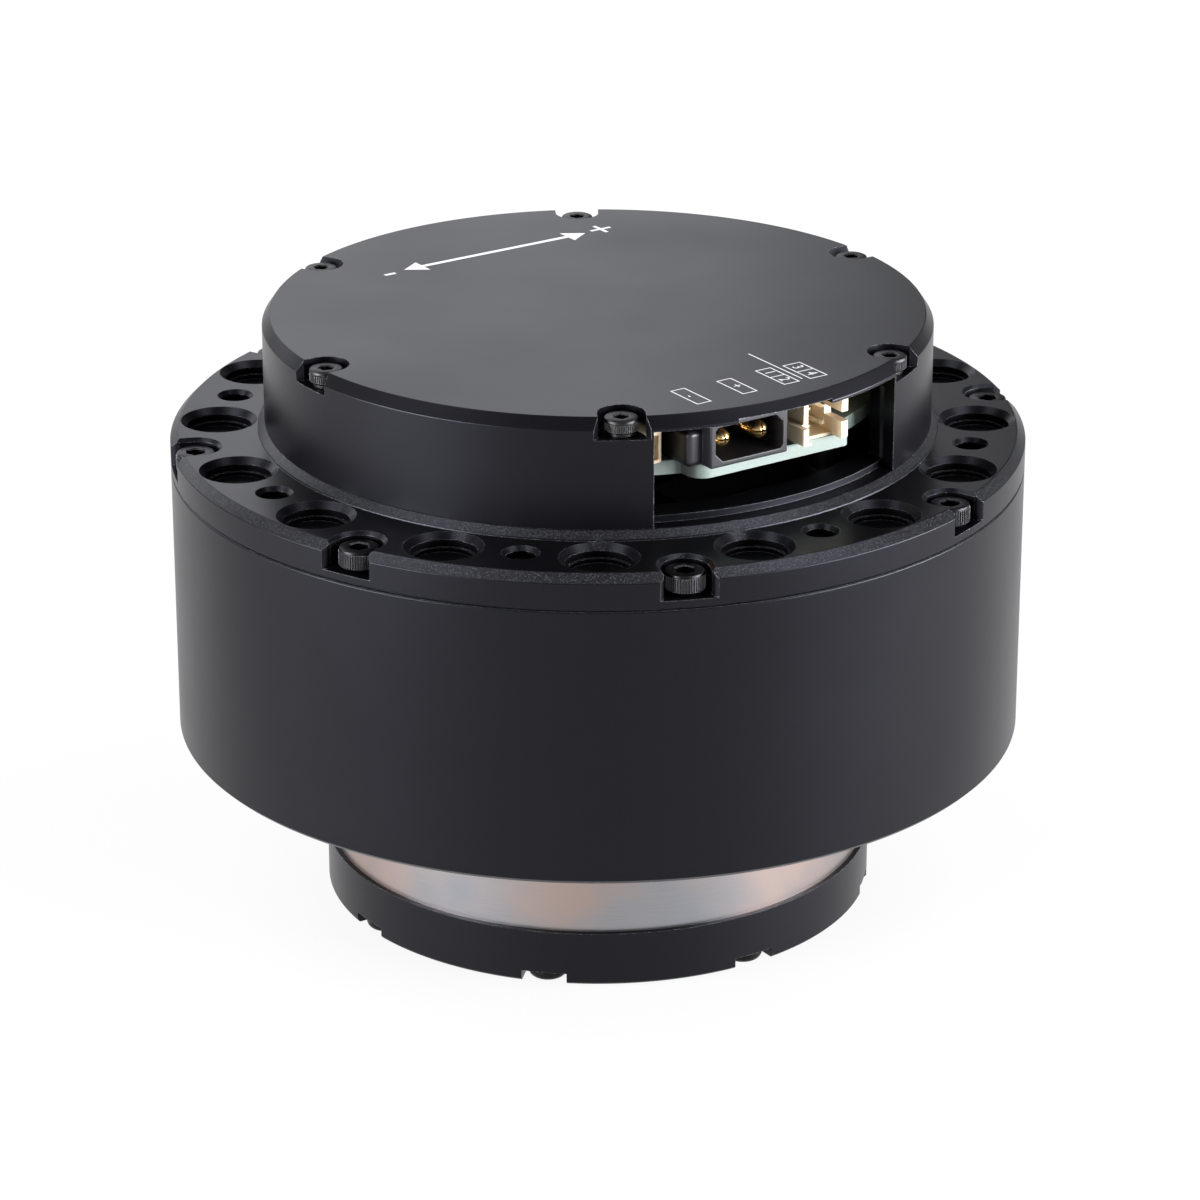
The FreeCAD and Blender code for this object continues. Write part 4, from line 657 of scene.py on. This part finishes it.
# Finish-turned steel: a grey sheen drawn out round the ring by tool marks, which are as far apart
# as the tool was fed, with warm blotches over a centimetre wide.
turned_steel, tree = empty_material("finish_turned_steel")
place = add_node(tree, "TexCoord").outputs["Object"]
stretched = add_node(tree, "Mapping", {"Vector": place, "Scale": (0.02, 0.02, 1.0)})
lines = add_node(tree, "TexNoise", {"Vector": stretched.outputs[0], "Scale": 1 / (TOOL_MARKS * MM),
                                    "Detail": 1.0})
blots = add_node(tree, "TexNoise", {"Vector": place, "Scale": 1 / (BLOTCHES * MM), "Detail": 2.0,
                                    "Roughness": 0.45})
stain = add_node(tree, "MapRange", {"Value": blots.outputs[0], "From Min": 0.42, "From Max": 0.66,
                                    "To Max": 0.85})
clean = add_node(tree, "MixRGB", {0: lines.outputs[0], 1: linear("#85868A"), 2: linear("#95969A")})
tone = add_node(tree, "MixRGB", {0: stain.outputs[0], 1: clean.outputs[0], 2: linear("#A08D84")})
gloss = add_node(tree, "MapRange", {"Value": blots.outputs[0], "From Min": 0.3, "From Max": 0.7,
                                    "To Min": 0.28, "To Max": 0.38})
relief = add_node(tree, "Bump", {"Height": lines.outputs[0], "Strength": 0.2, "Distance": 0.004 * MM})
steel = add_node(tree, "BsdfPrincipled", {"Base Color": tone.outputs[0], "Metallic": 1.0,
                                          "Roughness": gloss.outputs[0], "Normal": relief.outputs[0]})
add_node(tree, "OutputMaterial", {"Surface": steel.outputs[0]})

# ---------------------------------------------------------------- end cap
# The cap that holds the output bearing in its ring, turned and anodised black. Eight button
# screws sit in open notches round its rim.
CAP_LIP = 24.0
CAP_EDGE = 0.3
CAP_SCREW_CIRCLE = 29.6
CAP_NOTCH = 2.6
CAP_NOTCH_DEPTH = 1.3
CAP_NOTCH_REACH = 4.0
BEARING_SEAT = 26.0
BEARING_BOTTOM = 1.9

cap_low, cap_high = box_mm("end_cap")
cap_radius = cap_high.y
cap = lathe([
    (CAP_LIP, cap_low.z), (cap_radius - CAP_EDGE, cap_low.z), (cap_radius, cap_low.z + CAP_EDGE),
    (cap_radius, cap_high.z), (BEARING_SEAT, cap_high.z), (BEARING_SEAT, BEARING_BOTTOM),
    (CAP_LIP, BEARING_BOTTOM)])
cap = joined(cap, holes(8, [(CAP_NOTCH, cap_low.z - PAST), (CAP_NOTCH, cap_low.z + CAP_NOTCH_DEPTH)],
                        CAP_SCREW_CIRCLE, reach=CAP_NOTCH_REACH))
cap = joined(cap, holes(8, [(SCREW_CLEARANCE, cap_low.z), (SCREW_CLEARANCE, cap_high.z + PAST)],
                        CAP_SCREW_CIRCLE))
cap = finish_piece(cap, "bearing_cap", black_anodised)
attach(cap, "housing")
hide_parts("end_cap")

# ---------------------------------------------------------------- power plug
# The socket for the supply: black glass-filled nylon moulded in one, with a rounded shoulder on
# its left. Two round pins stand in it, and its foot is soldered to the board's edge.
PLUG_EDGE = 0.2
PLUG_WALL = 0.6
PLUG_CAVITY = 8.0
KEY_CORNER = 1.0
PLAIN_CORNER = 0.4
SHOULDER = 2.0
SHOULDER_INSET = 1.5
SHOULDER_DROP = 1.0
SHOULDER_EDGE = 0.7


def crate(low, high, edge, segments=3):
    """A box from corner to corner, its edges rounded."""
    mesh = bmesh.new()
    middle, size = (Vector(low) + Vector(high)) / 2, Vector(high) - Vector(low)
    bmesh.ops.create_cube(mesh, size=1.0,
                          matrix=Matrix.Translation(middle) @ Matrix.Diagonal((*size, 1.0)))
    bmesh.ops.bevel(mesh, geom=mesh.edges[:], offset=edge, offset_type="OFFSET", segments=segments,
                    profile=0.5, affect="EDGES", material=-1, clamp_overlap=True)
    return mesh


# Nylon filled with glass and moulded: a soft black sheen, greyer on its edges, partly where the
# mating plug rubs and partly as a painted highlight. The fibres are under 0.1 mm, drawn as a grain
# of 0.3 mm so that they show.
moulded_black, tree = empty_material("moulded_black_nylon")
place = add_node(tree, "TexCoord").outputs["Object"]
grain = add_node(tree, "TexNoise", {"Vector": place, "Scale": 1 / (0.3 * MM), "Detail": 2.0})
tone = add_node(tree, "MixRGB", {0: grain.outputs[0], 1: linear("#161619"), 2: linear("#202024")})
# the edges greyed: partly wear, partly a painted highlight
edge, rounded = worn_and_highlit_edges(tree, 0.15)
wear_and_highlight = add_node(tree, "Math", {0: edge, 1: 0.35}, operation="MULTIPLY")
tone = add_node(tree, "MixRGB", {0: wear_and_highlight.outputs[0], 1: tone.outputs[0], 2: linear("#6C6C70")})
relief = add_node(tree, "Bump", {"Height": grain.outputs[0], "Strength": 0.15, "Distance": 0.01 * MM,
                                 "Normal": rounded})
nylon = add_node(tree, "BsdfPrincipled", {"Base Color": tone.outputs[0], "Roughness": 0.36,
                                          "Normal": relief.outputs[0]})
add_node(tree, "OutputMaterial", {"Surface": nylon.outputs[0]})

plug_low, plug_high = box_mm("power_connector")
shell_left = plug_low.x + SHOULDER
left, right = shell_left + PLUG_WALL, plug_high.x - PLUG_WALL
bottom, top = plug_low.z + PLUG_WALL, plug_high.z - PLUG_WALL
plug = crate((shell_left, plug_low.y, plug_low.z), plug_high, PLUG_EDGE)
plug = joined(plug, crate((plug_low.x, plug_low.y + SHOULDER_INSET, plug_low.z),
                          (left, plug_high.y, plug_high.z - SHOULDER_DROP), SHOULDER_EDGE, 4), "UNION")
cavity = prisms([(left, bottom + KEY_CORNER), (left + KEY_CORNER, bottom),
                 (right - PLAIN_CORNER, bottom), (right, bottom + PLAIN_CORNER),
                 (right, top - KEY_CORNER), (right - KEY_CORNER, top),
                 (left + PLAIN_CORNER, top), (left, top - PLAIN_CORNER)],
                -plug_low.y - PLUG_CAVITY, -plug_low.y + 2 * PAST)
bmesh.ops.transform(cavity, matrix=Matrix.Rotation(math.pi / 2, 4, "X"), verts=cavity.verts)
plug = joined(plug, cavity)
plug = finish_piece(plug, "power_plug", moulded_black)
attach(plug, "housing")
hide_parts("power_connector")

# ---------------------------------------------------------------- power pins
# Two round contacts, turned in brass and gold-plated. Their rounded tips are sawn crosswise so
# that they spring, and a collar sets them in the plug's floor.
PIN_TIP = 0.9
PIN_NECK = 0.86
SAW_HALF, SAW_REACH, SAW_DEPTH, SAW_EDGE = 0.13, 1.5, 2.6, 0.03


def pin(mesh, levels, place, segments):
    """Adds a pin of rings set on one another, which points forwards from a place."""
    made = stack(mesh, levels, segments=segments)
    bmesh.ops.transform(mesh, matrix=Matrix.Translation(place) @ Matrix.Rotation(math.pi / 2, 4, "X"),
                        verts=made)


# Gold over brass: a warm pale gloss, a little uneven where the plating is thin. The lathe's marks
# are far finer and are drawn as a grain of 0.2 mm.
gold, tree = empty_material("gold_plated_brass")
place = add_node(tree, "TexCoord").outputs["Object"]
grain = add_node(tree, "TexNoise", {"Vector": place, "Scale": 1 / (0.2 * MM), "Detail": 2.0})
tone = add_node(tree, "MixRGB", {0: grain.outputs[0], 1: linear("#F0CB88"), 2: linear("#FFE0A6")})
plating = add_node(tree, "BsdfPrincipled", {"Base Color": tone.outputs[0], "Metallic": 1.0,
                                            "Roughness": 0.27})
add_node(tree, "OutputMaterial", {"Surface": plating.outputs[0]})

pins_low, pins_high = box_mm("power_pins")
radius, height = (pins_high.z - pins_low.z) / 2, (pins_low.z + pins_high.z) / 2
straight = pins_high.y - pins_low.y - PIN_TIP
levels = [(radius, 0.0), (radius, 1.2), (radius * PIN_NECK, 1.3), (radius * PIN_NECK, 1.6),
          (radius, 1.7), (radius, straight)]
levels += [(radius * math.cos(bend), straight + PIN_TIP * math.sin(bend))
           for bend in (0.35, 0.7, 1.05, 1.3)]
pins = bmesh.new()
for across in (pins_low.x + radius, pins_high.x - radius):
    pin(pins, levels, (across, pins_high.y, height), 48)
for across in (pins_low.x + radius, pins_high.x - radius):
    for wide, tall in ((SAW_HALF, SAW_REACH), (SAW_REACH, SAW_HALF)):
        pins = joined(pins, crate((across - wide, pins_low.y - PAST, height - tall),
                                  (across + wide, pins_low.y + SAW_DEPTH, height + tall), SAW_EDGE, 1))
pins = finish_piece(pins, "contact_pins", gold)
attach(pins, "housing")
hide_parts("power_pins")

# ---------------------------------------------------------------- signal plug
# The four-pin signal header, moulded in cream nylon: open at the front, with a slot in each side
# wall for the latch of the mating plug. Its square pins are drawn wire, tin-plated.
HEADER_EDGE = 0.12
CUT_EDGE = 0.06
SIGNAL_CUTS = [
    # two corners of each cut, counted from the header's own left, front and bottom corner
    ((-1.0, -2.0, 2.0), (1.0, 9.0, 7.0)),  # the ledge outside the left wall
    ((0.5, -2.0, 2.0), (5.1, 1.4, 7.0)),  # the open front of that wall
    ((1.6, -2.0, 0.35), (5.1, 5.6, 7.0)),  # the cavity
    ((0.7, -2.0, 0.35), (1.9, 1.4, 2.3)),  # the recess in front of the wall
    ((1.1, -2.0, -1.0), (5.1, 1.7, 0.6)),  # the gap in the floor's front
    ((4.9, -2.0, 2.0), (7.0, 3.2, 3.1)),  # the slot in the right wall
]
PIN_HALF = 0.25
PIN_CORNER = 0.34
PIN_POINT = 0.2
PIN_TAPER = 0.3
PIN_SET_BACK = 0.9

# Unfilled nylon: a warm cream that lets a little light in, softly glossy. Its flow marks are fine
# and are drawn as a grain of 0.4 mm.
cream, tree = empty_material("cream_nylon")
place = add_node(tree, "TexCoord").outputs["Object"]
grain = add_node(tree, "TexNoise", {"Vector": place, "Scale": 1 / (0.4 * MM), "Detail": 2.0})
tone = add_node(tree, "MixRGB", {0: grain.outputs[0], 1: linear("#D0BC99"), 2: linear("#DECDAE")})
relief = add_node(tree, "Bump", {"Height": grain.outputs[0], "Strength": 0.1, "Distance": 0.01 * MM})
nylon = add_node(tree, "BsdfPrincipled", {"Base Color": tone.outputs[0], "Roughness": 0.4,
                                          "Subsurface Weight": 0.15, "Subsurface Scale": 0.4 * MM,
                                          "Normal": relief.outputs[0]})
add_node(tree, "OutputMaterial", {"Surface": nylon.outputs[0]})

header_low, header_high = box_mm("signal_connector")
plug = crate(header_low, header_high, HEADER_EDGE)
for first, last in SIGNAL_CUTS:
    plug = joined(plug, crate(header_low + Vector(first), header_low + Vector(last), CUT_EDGE))
plug = finish_piece(plug, "signal_header", cream)
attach(plug, "housing")
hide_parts("signal_connector")

# Bright tin over brass: a pale, slightly warm metal, drawn with a grain of 0.15 mm.
tinned, tree = empty_material("tin_plated_brass")
place = add_node(tree, "TexCoord").outputs["Object"]
grain = add_node(tree, "TexNoise", {"Vector": place, "Scale": 1 / (0.15 * MM), "Detail": 2.0})
tone = add_node(tree, "MixRGB", {0: grain.outputs[0], 1: linear("#B9B3A6"), 2: linear("#D8D3C8")})
plating = add_node(tree, "BsdfPrincipled", {"Base Color": tone.outputs[0], "Metallic": 1.0,
                                            "Roughness": 0.25})
add_node(tree, "OutputMaterial", {"Surface": plating.outputs[0]})

pins_low, pins_high = box_mm("signal_pins")
length = pins_high.y - pins_low.y - PIN_SET_BACK
pins = bmesh.new()
for across in (pins_low.x + PIN_HALF, pins_high.x - PIN_HALF):
    for height in (pins_low.z + PIN_HALF, pins_high.z - PIN_HALF):
        pin(pins, [(PIN_CORNER, 0.0), (PIN_CORNER, length - PIN_TAPER), (PIN_POINT, length)],
            (across, pins_high.y, height), 4)
pins = finish_piece(pins, "signal_contacts", tinned, sharp=math.radians(20))
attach(pins, "housing")
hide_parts("signal_pins")

# ---------------------------------------------------------------- sensor plug
# A small two-pin header for a sensor at the board's left, moulded in the same cream nylon and
# soldered down. Its cavity is open at the front.
SENSOR_EDGE = 0.1
SENSOR_WALL = 0.4
SENSOR_CAVITY = 4.0

low, high = box_mm("sensor_connector")
plug = joined(crate(low, high, SENSOR_EDGE),
              crate((low.x + SENSOR_WALL, low.y - 2 * PAST, low.z + SENSOR_WALL),
                    (high.x - SENSOR_WALL, low.y + SENSOR_CAVITY, high.z - SENSOR_WALL), HEADER_EDGE))
plug = finish_piece(plug, "sensor_header", cream)
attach(plug, "housing")
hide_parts("sensor_connector")

# ---------------------------------------------------------------- cover print
# White pad print on the cover: boxes behind the plugs with plain signs and numbers for their
# contacts, a dividing line, and an arrow for the two ways the output turns.
INK_WIDTH = 0.16
INK_REST = 0.012
CELL_SIGN = 1.9
PRINTED_BOXES = [
    # left, right, front, back, and a sign for each of its cells
    (-9.65, -8.05, -33.5, -28.5, "-"),
    (-3.65, -2.0, -33.55, -28.65, "+"),
    (1.85, 3.65, -33.55, -28.2, "12"),
    (5.35, 7.4, -33.55, -28.5, "34"),
]
DIVIDING_LINE = (4.4, -33.2, 4.57, -23.1)
ARROW_MIDDLE = 23.75
ARROW_LEFT, ARROW_RIGHT = -8.6, 11.6
SHAFT_HALF = 0.35
HEAD_HALF, HEAD_LENGTH = 1.65, 2.6
LEFT_SIGN, RIGHT_SIGN = -13.4, 16.6
ARROW_SIGN = 6.0

# Pad-printed ink: a thin, flat white that lets a trace of grey through, in a grain of 0.15 mm.
ink, tree = empty_material("white_pad_ink")
place = add_node(tree, "TexCoord").outputs["Object"]
grain = add_node(tree, "TexNoise", {"Vector": place, "Scale": 1 / (0.15 * MM), "Detail": 2.0})
tone = add_node(tree, "MixRGB", {0: grain.outputs[0], 1: linear("#E0E0E2"), 2: linear("#FAFAFA")})
film = add_node(tree, "BsdfPrincipled", {"Base Color": tone.outputs[0], "Roughness": 0.5})
add_node(tree, "OutputMaterial", {"Surface": film.outputs[0]})

prints = bmesh.new()


def printed(corners):
    """A printed patch with these corners."""
    prints.faces.new([prints.verts.new((x, y, cover_face + INK_REST)) for x, y in corners])


def stroke(left, front, right, back):
    """A printed bar from corner to corner."""
    printed(((left, front), (right, front), (right, back), (left, back)))


def letter(sign, x, y, size, turn=0.0):
    """A printed sign centred on a place."""
    words = bpy.data.curves.new("sign", "FONT")
    words.body, words.size, words.align_x, words.align_y = sign, size, "CENTER", "CENTER"
    words.resolution_u = 4
    holder = bpy.data.objects.new("sign", words)
    bpy.context.scene.collection.objects.link(holder)
    bpy.context.view_layer.update()
    drawn = holder.to_mesh()
    before = len(prints.verts)
    prints.from_mesh(drawn)
    prints.verts.ensure_lookup_table()
    holder.to_mesh_clear()
    bpy.data.curves.remove(words)
    bmesh.ops.transform(prints, verts=prints.verts[before:],
                        matrix=Matrix.Translation((x, y, cover_face + INK_REST))
                        @ Matrix.Rotation(math.radians(turn), 4, "Z"))


for left, right, front, back, cells in PRINTED_BOXES:
    step = (back - front) / len(cells)
    for number in range(len(cells) + 1):
        line = front + step * number
        stroke(left - INK_WIDTH, line - INK_WIDTH, right + INK_WIDTH, line)
    for number, sign in enumerate(cells):
        line = front + step * number
        for side in (left - INK_WIDTH, right):
            stroke(side, line, side + INK_WIDTH, front + step * (number + 1) - INK_WIDTH)
        letter(sign, (left + right) / 2, back - step * (number + 0.5), CELL_SIGN, -90.0)
stroke(*DIVIDING_LINE)
stroke(ARROW_LEFT, ARROW_MIDDLE - SHAFT_HALF, ARROW_RIGHT, ARROW_MIDDLE + SHAFT_HALF)
for base, side, sign, sign_x in ((ARROW_LEFT, -1, "-", LEFT_SIGN), (ARROW_RIGHT, 1, "+", RIGHT_SIGN)):
    printed([(base + side * HEAD_LENGTH, ARROW_MIDDLE), (base, ARROW_MIDDLE - HEAD_HALF),
             (base, ARROW_MIDDLE + HEAD_HALF)])
    letter(sign, sign_x, ARROW_MIDDLE, ARROW_SIGN)
for face in prints.faces:
    face.normal_update()
    if face.normal.z < 0:
        face.normal_flip()
bmesh.ops.scale(prints, vec=(MM, MM, MM), verts=prints.verts)
cover_print = bpy.data.objects.new("cover_print", bpy.data.meshes.new("cover_print"))
prints.to_mesh(cover_print.data)
prints.free()
cover_print.data.materials.append(ink)
bpy.context.scene.collection.objects.link(cover_print)
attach(cover_print, "housing")

# ---------------------------------------------------------------- what stays as it was cut
# The rest keeps its machined form, and takes its finish from its stock: bronze bushes, ground
# bearing steel, copper wire, a glass-fibre board and so on. Their real grain is finer than would
# show, and is drawn at 0.2 to 0.4 mm.
FINISHES = {
    # slot: base colour, second colour, metallic, roughness, grain in millimetres
    # ground and hardened, bright and smooth
    "ground_steel": ("#B9B8B6", "#CFCECC", 1.0, 0.18, 0.2),
    # milled, pale with a soft sheen
    "bright_aluminium": ("#C4C5C8", "#D8D9DB", 1.0, 0.3, 0.25),
    # sintered and oiled, brown with open pores
    "bronze": ("#A9783F", "#BE8B4C", 1.0, 0.35, 0.3),
    # moulded rubber, black and dull
    "seal_rubber": ("#141414", "#1C1C1C", 0.0, 0.6, 0.3),
    # stamped and stacked sheet, grey under its varnish
    "electrical_steel": ("#6F7275", "#85888B", 1.0, 0.45, 0.35),
    # nickel-plated, smooth and faintly yellow
    "magnet_nickel": ("#A9A79F", "#BDBBB3", 1.0, 0.25, 0.3),
    # copper under clear enamel, red-brown and glossy
    "copper_wire": ("#9A4A22", "#B55F30", 1.0, 0.35, 0.4),
    # cut glass-fibre laminate, pale green-grey, mottled by its weave
    "circuit_board": ("#737F77", "#828E86", 0.0, 0.45, 0.4),
    # moulded epoxy, black and finely rough
    "chip_plastic": ("#131315", "#1C1C1E", 0.0, 0.5, 0.3),
}
finishes = {"black_anodised": black_anodised, "screw_black": black_oxide, "screw_steel": bare_steel,
            "turned_steel": turned_steel, "plug_black": moulded_black, "plug_cream": cream,
            "gold_plate": gold}
for name, (first, second, metallic, roughness, grain) in FINISHES.items():
    finishes[name], tree = empty_material(name)
    place = add_node(tree, "TexCoord").outputs["Object"]
    speckle = add_node(tree, "TexNoise", {"Vector": place, "Scale": 1 / (grain * MM), "Detail": 3.0})
    tone = add_node(tree, "MixRGB", {0: speckle.outputs[0], 1: linear(first), 2: linear(second)})
    relief = add_node(tree, "Bump", {"Height": speckle.outputs[0], "Strength": 0.2,
                                     "Distance": 0.01 * MM})
    surface = add_node(tree, "BsdfPrincipled", {"Base Color": tone.outputs[0], "Metallic": metallic,
                                                "Roughness": roughness, "Normal": relief.outputs[0]})
    add_node(tree, "OutputMaterial", {"Surface": surface.outputs[0]})
for part in frame["record"]["subparts"]:
    node = frame["nodes"][part["node"]]
    node.data.materials.clear()
    node.data.materials.append(finishes[part["material_slot"]])

low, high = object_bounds()
